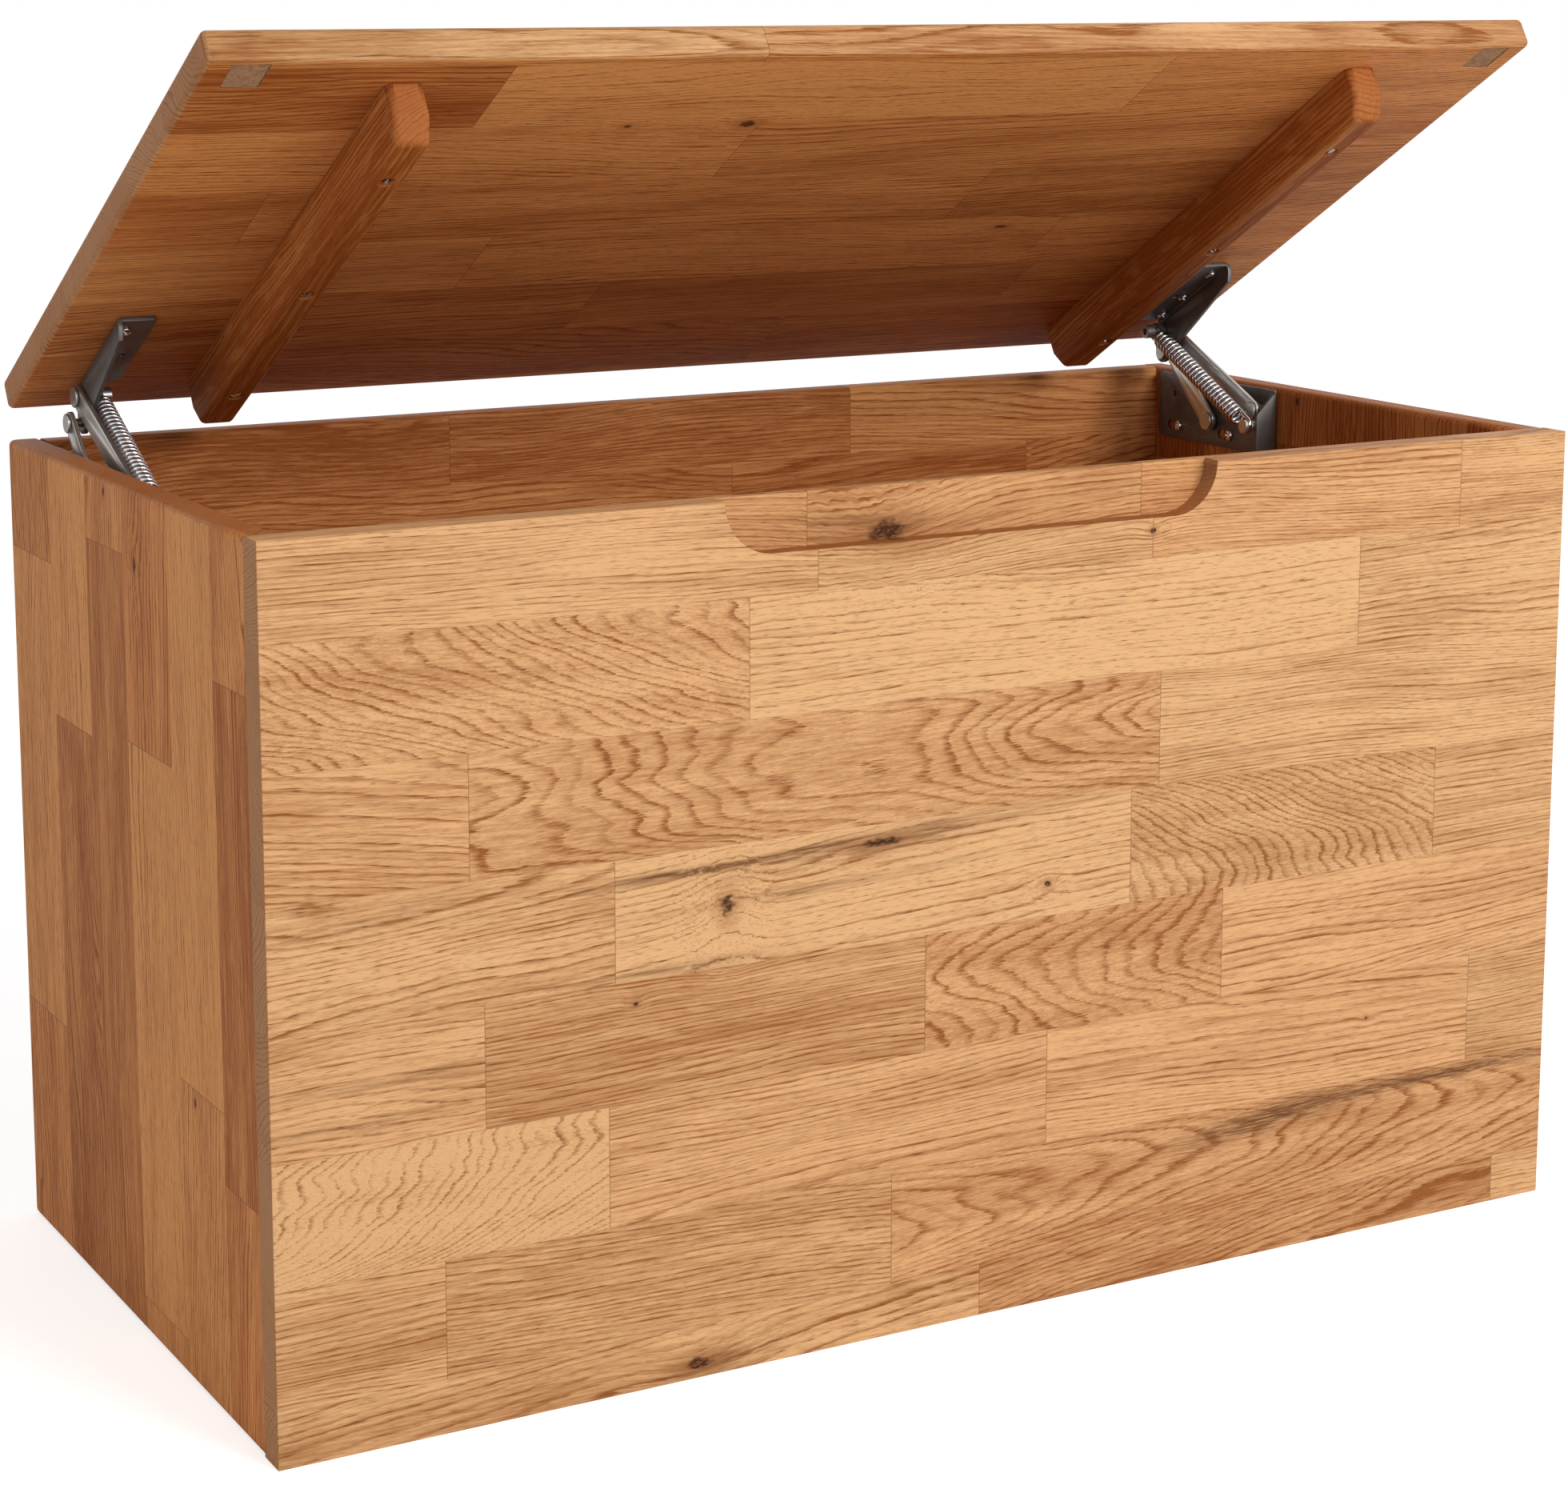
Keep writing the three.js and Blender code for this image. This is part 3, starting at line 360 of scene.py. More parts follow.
def subtract(bm, tool_bm):
    """Cuts one closed mesh out of another."""
    target, tool = to_object("cut_target", bm), to_object("cut_tool", tool_bm)
    modifier = target.modifiers.new("cut", "BOOLEAN")
    modifier.operation, modifier.solver, modifier.object = "DIFFERENCE", "EXACT", tool
    result = from_object(baked(target))
    bpy.data.objects.remove(tool)
    bmesh.ops.remove_doubles(result, verts=result.verts, dist=1e-6)
    bmesh.ops.dissolve_limit(result, angle_limit=math.radians(0.5), verts=result.verts, edges=result.edges)
    return result


def ease_edges(bm, radius_of):
    """Rounds each sharp edge by the radius that radius_of gives for it, the largest first."""
    wanted = {}
    for edge in bm.edges:
        if len(edge.link_faces) == 2 and edge.calc_face_angle(0.0) > math.radians(SHARP_DEGREES):
            wanted.setdefault(radius_of(edge), []).append(edge)
    for radius in sorted(wanted, reverse=True):
        edges = [e for e in wanted[radius] if e.is_valid]
        bmesh.ops.bevel(bm, geom=edges, offset=radius, offset_type="OFFSET", segments=EDGE_STEPS,
                        profile=0.5, affect="EDGES", clamp_overlap=True)


AXES = [Vector(v) for v in ((1, 0, 0), (0, 1, 0), (0, 0, 1))]
SAME_WAY = 0.9995


def smooth_roundings(obj, flats=AXES):
    """Shades the rounded edges smooth and leaves the faces that look along one of `flats` flat."""
    for polygon in obj.data.polygons:
        polygon.use_smooth = all(abs(polygon.normal.dot(way)) < SAME_WAY for way in flats)


def smooth(obj, degrees=35):
    for polygon in obj.data.polygons:
        polygon.use_smooth = True
    obj.data.set_sharp_from_angle(angle=math.radians(degrees))


def finish_piece(obj, body, slot, finish, *nodes):
    """Gives a piece its material, and says what it rides on and what it replaces. Its finish, `slot`, is not
    used.
    """
    obj.data.materials.clear()
    obj.data.materials.append(bpy.data.materials[finish])
    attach(obj, body)
    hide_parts(*nodes)


# Node helpers
class Tree:
    """Adds nodes to a tree. A value for a socket is a number, a tuple or another node's socket."""

    def __init__(self, tree):
        self.tree = tree

    def fill(self, sockets, values):
        """Sets or links sockets, given by name or index."""
        for key, value in values.items():
            if isinstance(value, bpy.types.NodeSocket):
                self.tree.links.new(value, sockets[key])
            else:
                sockets[key].default_value = value

    def add(self, kind, inputs=None, **values):
        node = self.tree.nodes.new(kind)
        for key, value in values.items():
            setattr(node, key, value)
        self.fill(node.inputs, inputs or {})
        return node

    def use(self, group, inputs):
        return self.add("ShaderNodeGroup", inputs, node_tree=bpy.data.node_groups[group]).outputs

    def math(self, operation, first, second=0.0, clamp=False):
        inputs = {0: first, 1: second}
        return self.add("ShaderNodeMath", inputs, operation=operation, use_clamp=clamp).outputs[0]

    def times(self, first, second, clamp=False):
        return self.math("MULTIPLY", first, second, clamp)

    def plus(self, first, second, clamp=False):
        return self.math("ADD", first, second, clamp)

    def minus(self, first, second):
        return self.math("SUBTRACT", first, second)

    def vector(self, operation, first, second=(0, 0, 0)):
        node = self.add("ShaderNodeVectorMath", {0: first, 1: second}, operation=operation)
        return node.outputs["Value" if operation in ("LENGTH", "DOT_PRODUCT") else "Vector"]

    def scaled(self, vector, scale):
        inputs = {0: vector, "Scale": scale}
        return self.add("ShaderNodeVectorMath", inputs, operation="SCALE").outputs["Vector"]

    def stretched(self, vector, factors):
        return self.vector("MULTIPLY", vector, factors)

    def join(self, x=0.0, y=0.0, z=0.0):
        return self.add("ShaderNodeCombineXYZ", {0: x, 1: y, 2: z}).outputs[0]

    def split(self, vector):
        return self.add("ShaderNodeSeparateXYZ", {0: vector}).outputs

    def noise(self, vector, scale=1.0, detail=0.0, roughness=0.5, colour=False):
        inputs = {"Vector": vector, "Scale": scale, "Detail": detail, "Roughness": roughness}
        return self.add("ShaderNodeTexNoise", inputs).outputs["Color" if colour else "Fac"]

    def line_noise(self, value, scale):
        inputs = {"W": value, "Scale": scale, "Detail": 0.0}
        return self.add("ShaderNodeTexNoise", inputs, noise_dimensions="1D").outputs["Fac"]

    def pattern(self, place, rate, detail=0.0, roughness=0.5, colour=False):
        """Noise that changes at its own rate along each axis."""
        return self.noise(self.stretched(place, rate), 1.0, detail, roughness, colour)

    def blend(self, factor, first, second, mode="MIX"):
        node = self.add("ShaderNodeMix", {0: factor}, data_type="RGBA", blend_type=mode)
        sockets = [s for s in node.inputs if s.type == "RGBA"]
        pair = [c if isinstance(c, bpy.types.NodeSocket) else (*c, 1.0) for c in (first, second)]
        self.fill(sockets, dict(enumerate(pair)))
        return next(s for s in node.outputs if s.type == "RGBA")

    def band(self, value, low, high, at_low=0.0, at_high=1.0):
        """A soft step: at_low up to low, at_high from high on."""
        inputs = dict(enumerate((value, low, high, at_low, at_high)))
        return self.add("ShaderNodeMapRange", inputs, interpolation_type="SMOOTHSTEP").outputs[0]

    def attribute(self, name, output="Vector"):
        return self.add("ShaderNodeAttribute", attribute_name=name).outputs[output]

    def bump(self, height, strength, distance):
        inputs = {"Height": height, "Strength": strength, "Distance": distance}
        return self.add("ShaderNodeBump", inputs).outputs[0]


FLOAT, VECTOR, GEOMETRY = "NodeSocketFloat", "NodeSocketVector", "NodeSocketGeometry"


def node_group(kind, name, inputs, outputs):
    """A node group. Its inputs are (label, socket kind, default), its outputs are labels by socket kind."""
    group = bpy.data.node_groups.new(name, kind)
    for label, socket_kind, *default in inputs:
        socket = group.interface.new_socket(label, in_out="INPUT", socket_type=socket_kind)
        if default:
            socket.default_value = default[0]
    for label, socket_kind in outputs.items():
        group.interface.new_socket(label, in_out="OUTPUT", socket_type=socket_kind)
    tree = Tree(group)
    return tree, tree.add("NodeGroupInput").outputs, tree.add("NodeGroupOutput").inputs


def new_material(name):
    """A material's tree and the inputs of its shader."""
    material = bpy.data.materials.new(name)
    material.use_nodes = True
    return Tree(material.node_tree), material.node_tree.nodes["Principled BSDF"].inputs


# How often each pattern in the oak changes along the grain and across it, per metre
SLOW_BEND, QUICK_BEND, FRAYING = (4, 15, 15), (24, 80, 80), (60, 1000, 1000)
PORES, FIBRES, CLOUDS, RAISED_FIBRES = (150, 2000, 2000), (14, 500, 500), (5, 34, 34), (20, 900, 900)
RAY_ALONG, RAY_ROUND, RAY_OUT = 45.0, 50.0, 90.0
# How far the rings bend, in metres, and how unevenly they are spaced, in rings
SLOW_REACH, QUICK_REACH = 0.034, 0.0026
SPACING_RATE, SPACING_REACH, FRAY_REACH = 34.0, 2.4, 0.30
RING_CHANGE = 210.0


def grain_group():
    """Growth rings, pores, fibres and rays of sawn oak, as masks over the wood's own place."""
    t, given, out = node_group(
        "ShaderNodeTree", "oak_grain",
        [("Place", VECTOR), ("Ring Width", FLOAT, 0.0032), ("Wander", FLOAT, 1.0)],
        dict.fromkeys(("Rings", "Pores", "Fibres", "Rays", "Clouds"), FLOAT))
    place = given["Place"]
    slow = t.minus(t.pattern(place, SLOW_BEND, 1.0), 0.5)
    quick = t.minus(t.pattern(place, QUICK_BEND, 1.0), 0.5)
    frayed = t.pattern(place, FRAYING)
    bent = t.vector("ADD", place, t.join(z=t.times(t.times(slow, SLOW_REACH), given["Wander"])))
    radius = t.plus(t.vector("LENGTH", t.stretched(bent, (0, 1, 1))), t.times(quick, QUICK_REACH))
    count = t.math("DIVIDE", radius, given["Ring Width"])
    count = t.plus(count, t.times(t.line_noise(radius, SPACING_RATE), SPACING_REACH))
    phase = t.math("FRACT", t.plus(count, t.times(frayed, FRAY_REACH)))
    rings = t.times(t.band(phase, 0.0, 0.10), t.band(phase, 0.12, 0.50, 1.0, 0.0))
    rings = t.times(rings, t.band(t.line_noise(radius, RING_CHANGE), 0.28, 0.70, 0.35, 1.0))
    rings = t.times(rings, t.band(frayed, 0.25, 0.70, 0.45, 1.15))
    pores = t.times(t.band(t.pattern(place, PORES), 0.60, 0.74), t.plus(t.times(rings, 0.75), 0.38))
    _, bent_y, bent_z = t.split(bent)
    spin = t.math("ARCTAN2", bent_y, bent_z)
    ray_place = t.join(
        t.times(t.split(place)[X], RAY_ALONG), t.times(spin, RAY_ROUND), t.times(radius, RAY_OUT))
    t.fill(out, {
        "Rings": rings,
        "Pores": pores,
        "Fibres": t.pattern(place, FIBRES, 2.0, 0.65),
        "Rays": t.band(t.noise(ray_place), 0.62, 0.76),
        "Clouds": t.pattern(place, CLOUDS, 1.0),
    })


def relief_group():
    """How the open pores and fibres roughen the surface."""
    t, given, out = node_group("ShaderNodeTree", "oak_relief", [("Place", VECTOR)], {"Height": FLOAT})
    raised = t.times(t.pattern(given["Place"], RAISED_FIBRES), 0.5)
    t.fill(out, {"Height": t.minus(raised, t.band(t.pattern(given["Place"], PORES), 0.58, 0.72))})


def streak_group():
    """One long dark streak in the heartwood, kept to its own row of staves."""
    t, given, out = node_group(
        "ShaderNodeTree", "oak_streak",
        [("Board Place", VECTOR), ("Centre", VECTOR), ("Reach", VECTOR), ("Rise", FLOAT),
         ("Row Middle", FLOAT), ("Row Width", FLOAT)],
        {"Mask": FLOAT})
    along, up, _ = t.split(t.vector("SUBTRACT", given["Board Place"], given["Centre"]))
    level = t.join(along, t.minus(up, t.times(along, given["Rise"])))
    share = t.vector("DIVIDE", level, given["Reach"])
    fading = t.math("EXPONENT", t.times(t.vector("DOT_PRODUCT", share, share), -1.0))
    from_middle = t.math("ABSOLUTE", t.minus(t.split(given["Board Place"])[Y], given["Row Middle"]))
    in_row = t.math("LESS_THAN", from_middle, t.times(given["Row Width"], 0.5))
    t.fill(out, {"Mask": t.times(fading, in_row)})


def knot_group():
    """A knot's dark heart and halo, and how it pushes the grain round itself."""
    t, given, out = node_group(
        "ShaderNodeTree", "oak_knot",
        [("Board Place", VECTOR), ("Wobble", VECTOR), ("Centre", VECTOR), ("Size", FLOAT),
         ("Stretch", FLOAT)],
        {"Heart": FLOAT, "Halo": FLOAT, "Push": VECTOR})
    away = t.vector("SUBTRACT", given["Board Place"], given["Centre"])
    away = t.vector("ADD", away, t.scaled(given["Wobble"], given["Size"]))
    away = t.stretched(away, (1.0, 1.0, 0.15))
    shrink = t.join(t.math("DIVIDE", 1.0, given["Stretch"]), 1.0, 1.0)
    share = t.math("DIVIDE", t.vector("LENGTH", t.stretched(away, shrink)), given["Size"])
    reach = t.math("EXPONENT", t.times(t.times(share, share), -0.07))
    amount = t.times(reach, t.times(given["Size"], 1.5))
    t.fill(out, {
        "Heart": t.band(share, 0.45, 0.95, 1.0, 0.0),
        "Halo": t.band(share, 0.7, 2.6, 1.0, 0.0),
        "Push": t.join(y=amount, z=amount),
    })


# How much each pattern darkens the oak
RING_DARK, FIBRE_DARK, CLOUD_DARK, TONE_DARK, BASE_DARK = 0.78, 1.45, 0.95, 0.46, 0.14
# How much of its own colour each mark shows
WARM_SHOWS, RAY_SHOWS, PORE_SHOWS, END_SHOWS = 0.75, 0.18, 0.78, 0.80
END_RING_SHOWS, HALO_SHOWS, HEART_SHOWS = 0.55, 0.42, 0.92
SEAM_END_SHOWS, SEAM_SIDE_SHOWS = 0.46, 0.20
# Where a glue line starts to fade and where it ends, in metres from the stave's edge
SEAM_END, SEAM_SIDE = (0.00010, 0.00042), (0.00004, 0.00022)
KNOT_WOBBLE, KNOT_CRACKS, KNOT_WOBBLE_REACH = (150, 230, 60), (330, 760, 100), (1.5, 1.3, 0.0)


def knotted(t, place, board_place, knots):
    """The place pushed round the knots, and masks of their hearts, halos and cracks."""
    wobble = t.vector("SUBTRACT", t.pattern(board_place, KNOT_WOBBLE, 1.0, colour=True), (0.5, 0.5, 0.5))
    wobble = t.stretched(wobble, KNOT_WOBBLE_REACH)
    hearts = halos = 0.0
    for centre, size, stretch in knots:
        knot = t.use("oak_knot", {
            "Board Place": board_place, "Wobble": wobble, "Centre": centre, "Size": size, "Stretch": stretch})
        place = t.vector("ADD", place, knot["Push"])
        hearts = t.math("MAXIMUM", knot["Heart"], hearts)
        halos = t.math("MAXIMUM", knot["Halo"], halos)
    return place, hearts, halos, t.pattern(board_place, KNOT_CRACKS, 1.0)


def streaked(t, colour, board_place, fibres, streaks):
    """A colour with dark streaks, each within its own row of the front's staves."""
    streaky = t.plus(t.times(fibres, 1.7), -0.35, clamp=True)
    for centre, reach, rise, strength in streaks:
        row_low = max((edge for edge in FRONT_ROWS if edge < centre[Y]), default=0.0)
        row_high = min((edge for edge in FRONT_ROWS if edge > centre[Y]), default=1.0)
        streak = t.use("oak_streak", {
            "Board Place": board_place, "Centre": centre, "Reach": (*reach, 1.0), "Rise": rise,
            "Row Middle": (row_low + row_high) / 2, "Row Width": row_high - row_low})
        mask = t.times(t.times(streak["Mask"], streaky), strength, clamp=True)
        colour = t.blend(mask, colour, colours().streak)
    return colour


def oak_material(name, knots=(), streaks=()):
    """Oiled oak. Each stave's own place in the tree comes from the mesh."""
    t, shader = new_material(name)
    mine = colours()
    cut_place, board_place = t.attribute("grain_place"), t.attribute("board_place")
    place = cut_place
    if knots:
        place, hearts, halos, cracks = knotted(t, cut_place, board_place, knots)
    # The tone holds the stave's own tone plus the painted shade's darker tone
    tone, warmth, wander = t.split(t.attribute("stave_kind"))
    grain = t.use("oak_grain", {"Place": place, "Ring Width": sizes().ring_width, "Wander": wander})
    dark = t.times(grain["Rings"], RING_DARK)
    dark = t.plus(dark, t.times(t.minus(grain["Fibres"], 0.5), FIBRE_DARK))
    dark = t.plus(dark, t.times(t.minus(grain["Clouds"], 0.5), CLOUD_DARK))
    dark = t.plus(t.plus(dark, t.times(tone, TONE_DARK)), BASE_DARK, clamp=True)
    colour = t.blend(dark, mine.oak_pale, mine.oak_dark)
    rosy = t.blend(1.0, colour, mine.oak_rosy, "MULTIPLY")
    colour = t.blend(t.times(warmth, WARM_SHOWS, clamp=True), colour, rosy)
    colour = t.blend(t.times(grain["Rays"], RAY_SHOWS), colour, mine.oak_ray)
    if streaks:
        colour = streaked(t, colour, board_place, grain["Fibres"], streaks)
    colour = t.blend(t.times(grain["Pores"], PORE_SHOWS, clamp=True), colour, mine.oak_pore)
    end_tone = t.blend(t.times(grain["Rings"], END_RING_SHOWS), mine.oak_end, mine.oak_pore)
    colour = t.blend(t.times(t.attribute("end_grain", "Fac"), END_SHOWS, clamp=True), colour, end_tone)
    along, across, _ = t.split(t.vector("MINIMUM", t.attribute("stave_from"), t.attribute("stave_to")))
    seam = t.math("MAXIMUM", t.times(t.band(along, *SEAM_END, 1.0, 0.0), SEAM_END_SHOWS),
                  t.times(t.band(across, *SEAM_SIDE, 1.0, 0.0), SEAM_SIDE_SHOWS))
    colour = t.blend(seam, colour, mine.oak_pore)
    if knots:
        colour = t.blend(t.times(halos, HALO_SHOWS), colour, mine.knot_halo)
        core = t.blend(t.band(cracks, 0.40, 0.52), mine.knot_crack, mine.knot_heart)
        colour = t.blend(t.times(hearts, HEART_SHOWS), colour, core)
    # Painted shade: faces that get little light are tinted warmer and darker
    painted_shade_tint = t.blend(t.attribute("unfaded", "Fac"), (1.0, 1.0, 1.0), mine.oak_unfaded)
    height = t.minus(t.use("oak_relief", {"Place": cut_place})["Height"], seam)
    t.fill(shader, {
        "Base Color": t.blend(1.0, colour, painted_shade_tint, "MULTIPLY"),
        "Roughness": t.plus(t.times(grain["Pores"], 0.20), 0.50),
        "Specular IOR Level": 0.12,
        "Normal": t.bump(height, 0.35, 0.0005),
    })


# How much finer than the clouds the scratches are, along each axis
SCRATCHES = (30, 2, 30)


def wear_group():
    """Faint scuffs and clouding on plated metal."""
    t, given, out = node_group(
        "ShaderNodeTree", "plating_marks", [("Place", VECTOR), ("Scale", FLOAT, 60.0)],
        {"Clouds": FLOAT, "Scratches": FLOAT})
    place = t.scaled(given["Place"], given["Scale"])
    scratches = t.pattern(place, SCRATCHES, 3.0, 0.7)
    t.fill(out, {"Clouds": t.noise(place, 1.0, 4.0, 0.6), "Scratches": scratches})


def metal_material(name, colour, roughness, scratch, metallic):
    """Plated metal: `scratch` is how much rougher the fine scratches are."""
    t, shader = new_material(name)
    marks = t.use("plating_marks", {"Place": t.add("ShaderNodeTexCoord").outputs["Object"]})
    duller = [0.80 * value for value in colour]
    gloss = t.plus(t.times(marks["Clouds"], 0.14), roughness)
    t.fill(shader, {
        "Base Color": t.blend(t.band(marks["Clouds"], 0.35, 0.7), colour, duller),
        "Roughness": t.plus(gloss, t.times(marks["Scratches"], scratch)),
        "Metallic": metallic,
        "Normal": t.bump(marks["Scratches"], 0.06, 0.0003),
    })


def felt_material():
    """Pressed felt: fine fuzz with darker clumps."""
    t, shader = new_material("pressed_felt")
    place = t.add("ShaderNodeTexCoord").outputs["Object"]
    fuzz, clumps = t.noise(place, 1400.0, 3.0, 0.7), t.noise(place, 260.0, 3.0, 0.6)
    base = colours().felt
    tone = t.blend(t.band(fuzz, 0.35, 0.65), base, [min(1.0, 1.5 * value) for value in base])
    t.fill(shader, {
        "Base Color": t.blend(t.band(clumps, 0.4, 0.7, 0.0, 0.5), tone, [0.6 * value for value in base]),
        "Roughness": 0.95,
        "Normal": t.bump(fuzz, 0.7, 0.0008),
    })


class CHEST_OT_wood_finish(bpy.types.Operator):
    """Makes the shader groups and the oak, metal and felt finishes"""

    bl_idname = "chest.wood_finish"
    bl_label = "Make finishes"

    def execute(self, context):
        for group in (grain_group, relief_group, knot_group, streak_group, wear_group):
            group()
        mine = colours()
        oak_material("oiled_oak")
        oak_material("oiled_oak_front", FRONT_KNOTS, FRONT_STREAKS)
        oak_material("oiled_oak_side", SIDE_KNOTS)
        oak_material("oiled_oak_lid", LID_KNOTS)
        metal_material("dark_plate", mine.plate, 0.34, 0.08, 0.70)
        metal_material("satin_steel", mine.steel, 0.22, 0.08, 0.9)
        metal_material("bright_steel", mine.bright, 0.16, 0.06, 1.0)
        felt_material()
        return {"FINISHED"}


# Boards
SAWN_SHARES = (4, 4, 2)
# How far apart the seeds of two boards and of two rows are, so that each stave has its own
BOARD_STEP, ROW_STEP = 1009, 53


def sawn_stave(rng, sawn):
    """How a stave was cut: turn about the grain, distance to the pith, two slopes, place along, ring scale."""
    kind = sawn or rng.choices((FLAT, RIFT, QUARTER), SAWN_SHARES)[0]
    side = rng.choice((-1, 1))
    if kind == FLAT:
        turn, slope = rng.uniform(-22, 22), side * rng.uniform(0.06, 0.20)
    elif kind == RIFT:
        turn, slope = side * rng.uniform(32, 58), rng.choice((-1, 1)) * rng.uniform(0.015, 0.08)
    else:
        turn, slope = side * rng.uniform(66, 86), rng.uniform(-0.02, 0.02)
    pith = rng.choice((-1, 1)) * rng.uniform(0.05, 0.14)
    scale = rng.uniform(1.7, 2.4) if kind == FLAT else rng.uniform(1.0, 1.6)
    return math.radians(turn), pith, slope, rng.uniform(-0.035, 0.035), rng.uniform(1.0, 9.0), scale


def new_stave(seed, row, column, staves):
    """One stave's cut, tone, warmth and how much its rings wander. Tones that aren't given are drawn."""
    rng = random.Random(seed * BOARD_STEP + row * ROW_STEP + column)
    tone, sawn = staves[row][column] if staves else (rng.uniform(-0.6, 0.75), None)
    warmth = max(0.0, rng.uniform(-0.5, 1.0)) * min(1.0, max(0.0, 0.6 + tone))
    return (*sawn_stave(rng, sawn), tone, warmth, rng.uniform(0.5, 1.5))


def cut_staves(bm, low, grain, across, rows, joints):
    """Splits a board's skin along its rows and butt joints."""
    for row in rows:
        slice_mesh(bm, everything(bm), Vector(low) + row * AXES[across], AXES[across])
    row_edges = [-math.inf, *rows, math.inf]
    for row_low, row_high, cuts in zip(row_edges, row_edges[1:], joints):
        for place in cuts:
            faces = [f for f in bm.faces if row_low < f.calc_center_median()[across] - low[across] < row_high]
            # A dictionary holds each item once, in the same order at every run
            part = dict.fromkeys(item for face in faces for item in (face, *face.edges, *face.verts))
            slice_mesh(bm, list(part), Vector(low) + place * AXES[grain], AXES[grain])


# The distance, in metres, that stands for no glue line on that side
NOT_A_SEAM = 1.0
# A face shows end grain as it turns towards the grain's direction
END_SLOPE, END_START = 1.25, 0.15


def paint_staves(bm, low, high, grain, across, rows, joints, seed, staves, light):
    """Writes each stave's own grain onto the face corners."""
    through = 3 - grain - across
    layer = bm.loops.layers.float_vector
    places, boards, kinds = layer.new("grain_place"), layer.new("board_place"), layer.new("stave_kind")
    starts, stops = layer.new("stave_from"), layer.new("stave_to")
    ends, shades = bm.loops.layers.float.new("end_grain"), bm.loops.layers.float.new("unfaded")
    row_edges = [0.0, *rows, high[across] - low[across]]
    made = {}
    bm.normal_update()
    for face in bm.faces:
        centre = face.calc_center_median()
        row = sum(1 for edge in rows if centre[across] - low[across] > edge)
        cuts = joints[row] if row < len(joints) else []
        column = sum(1 for cut in cuts if centre[grain] - low[grain] > cut)
        if (row, column) not in made:
            made[row, column] = new_stave(seed, row, column, staves)
        turn, pith, slope, lean, along, scale, tone, warmth, wander = made[row, column]
        u_low, u_high = [0.0, *cuts, high[grain] - low[grain]][column:column + 2]
        v_low, v_high = row_edges[row:row + 2]
        u_mid, v_mid = (u_low + u_high) / 2, (v_low + v_high) / 2
        cosine, sine = math.cos(turn), math.sin(turn)
        end = min(1.0, max(0.0, abs(face.normal[grain]) * END_SLOPE - END_START))
        # Painted shade: `light` gives the face's share of the shade tint and how much darker its tone is
        # painted
        shade, darker = light(face.normal, centre)
        for loop in face.loops:
            u, v, w = (loop.vert.co[axis] - low[axis] for axis in (grain, across, through))
            y = cosine * (v - v_mid) - sine * w + lean * (u - u_mid)
            z = sine * (v - v_mid) + cosine * w + pith + slope * (u - u_mid)
            loop[places] = (u + along, y * scale, z * scale)
            loop[boards] = (u, v, w)
            # The painted shade's darker tone rides on the stave's own tone
            loop[kinds] = (tone + darker, warmth, wander)
            loop[starts] = (u - u_low if column else NOT_A_SEAM, v - v_low if row else NOT_A_SEAM, NOT_A_SEAM)
            loop[stops] = (u_high - u if column < len(cuts) else NOT_A_SEAM,
                           v_high - v if row < len(rows) else NOT_A_SEAM, NOT_A_SEAM)
            loop[ends] = end
            loop[shades] = shade


# Painted shade for each kind of face, from its normal and centre: how much of the shade tint it gets and how
# much darker its tone is painted
def shaded_face(normal, centre):
    # Painted shade: faces that get little light, such as the bottom and the battens, get the full shade tint
    return 1.0, 0.0


def block_shade(normal, centre):
    # Painted shade: the corner blocks inside the chest get the full shade tint and a darker tone
    return 1.0, 0.35


def back_shade(normal, centre):
    # Painted shade: the back's inner face gets most of the shade tint, with its tone a little lighter
    return 0.8, -0.25


def side_shade(normal, centre):
    # Painted shade: the inner face gets the full shade tint and a much darker tone; the outer face, turned
    # from the light, gets most of the tint and a slightly darker tone
    return (1.0, 0.9) if normal[X] * centre[X] < 0 else (0.9, 0.05)


def lid_shade(normal, centre):
    # Painted shade: the underside gets the full shade tint, the front edge a darker tone, and the top a little
    # of the tint
    if normal[Z] < -0.9:
        return 1.0, 0.0
    return (0.0, 0.5) if normal[Y] < -0.3 else (0.12, 0.0)


def front_shade_of(low, high):
    """The same for the front: its inner face gets the shade tint, and its finger recess is painted darker as
    shade.
    """
    mine = sizes()

    def front_shade_at(normal, centre):
        # Painted shade: the inner face gets the full shade tint
        if normal[Y] > 0.5:
            return 1.0, 0.0
        if normal[Y] < -0.5:
            # Painted shade: the recess's back wall gets some shade tint and a darker tone; the rest of the
            # front face gets none
            return (0.25, 0.20) if centre[Y] > low[Y] + mine.recess_depth / 2 else (0.0, 0.0)
        # Painted shade: the recess's end walls and ledge get a much darker tone
        across = abs(centre[X] - (low[X] + high[X]) / 2) < mine.recess_half_width + mine.edge_ease
        down = mine.edge_round < high[Z] - centre[Z] < mine.recess_height + mine.edge_ease
        return (0.0, 2.0) if across and down else (0.0, 0.0)

    return front_shade_at


def board(name, box, grain, across, rows, joints, seed, square=(), staves=None, light=shaded_face, tools=(),
          place=None):
    """One glued board: rounded outer edges, square on the sides (axis, end) where it meets others."""
    bm = box_mesh(*box)
    for tool in tools:
        bm = subtract(bm, tool)

    def radius_of(edge):
        shared = [(axis, end) for axis in (X, Y, Z) for end in (0, 1)
                  if all(abs(v.co[axis] - box[end][axis]) < TOUCHING for v in edge.verts)]
        outer = len(shared) > 1 and not any(side in shared for side in square)
        return sizes().edge_round if outer else sizes().edge_ease

    ease_edges(bm, radius_of)
    cut_staves(bm, box[0], grain, across, rows, joints)
    paint_staves(bm, *box, grain, across, rows, joints, seed, staves, light)
    obj = to_object(name, bm)
    smooth_roundings(obj)
    if place is not None:
        obj.data.transform(place)
    return obj


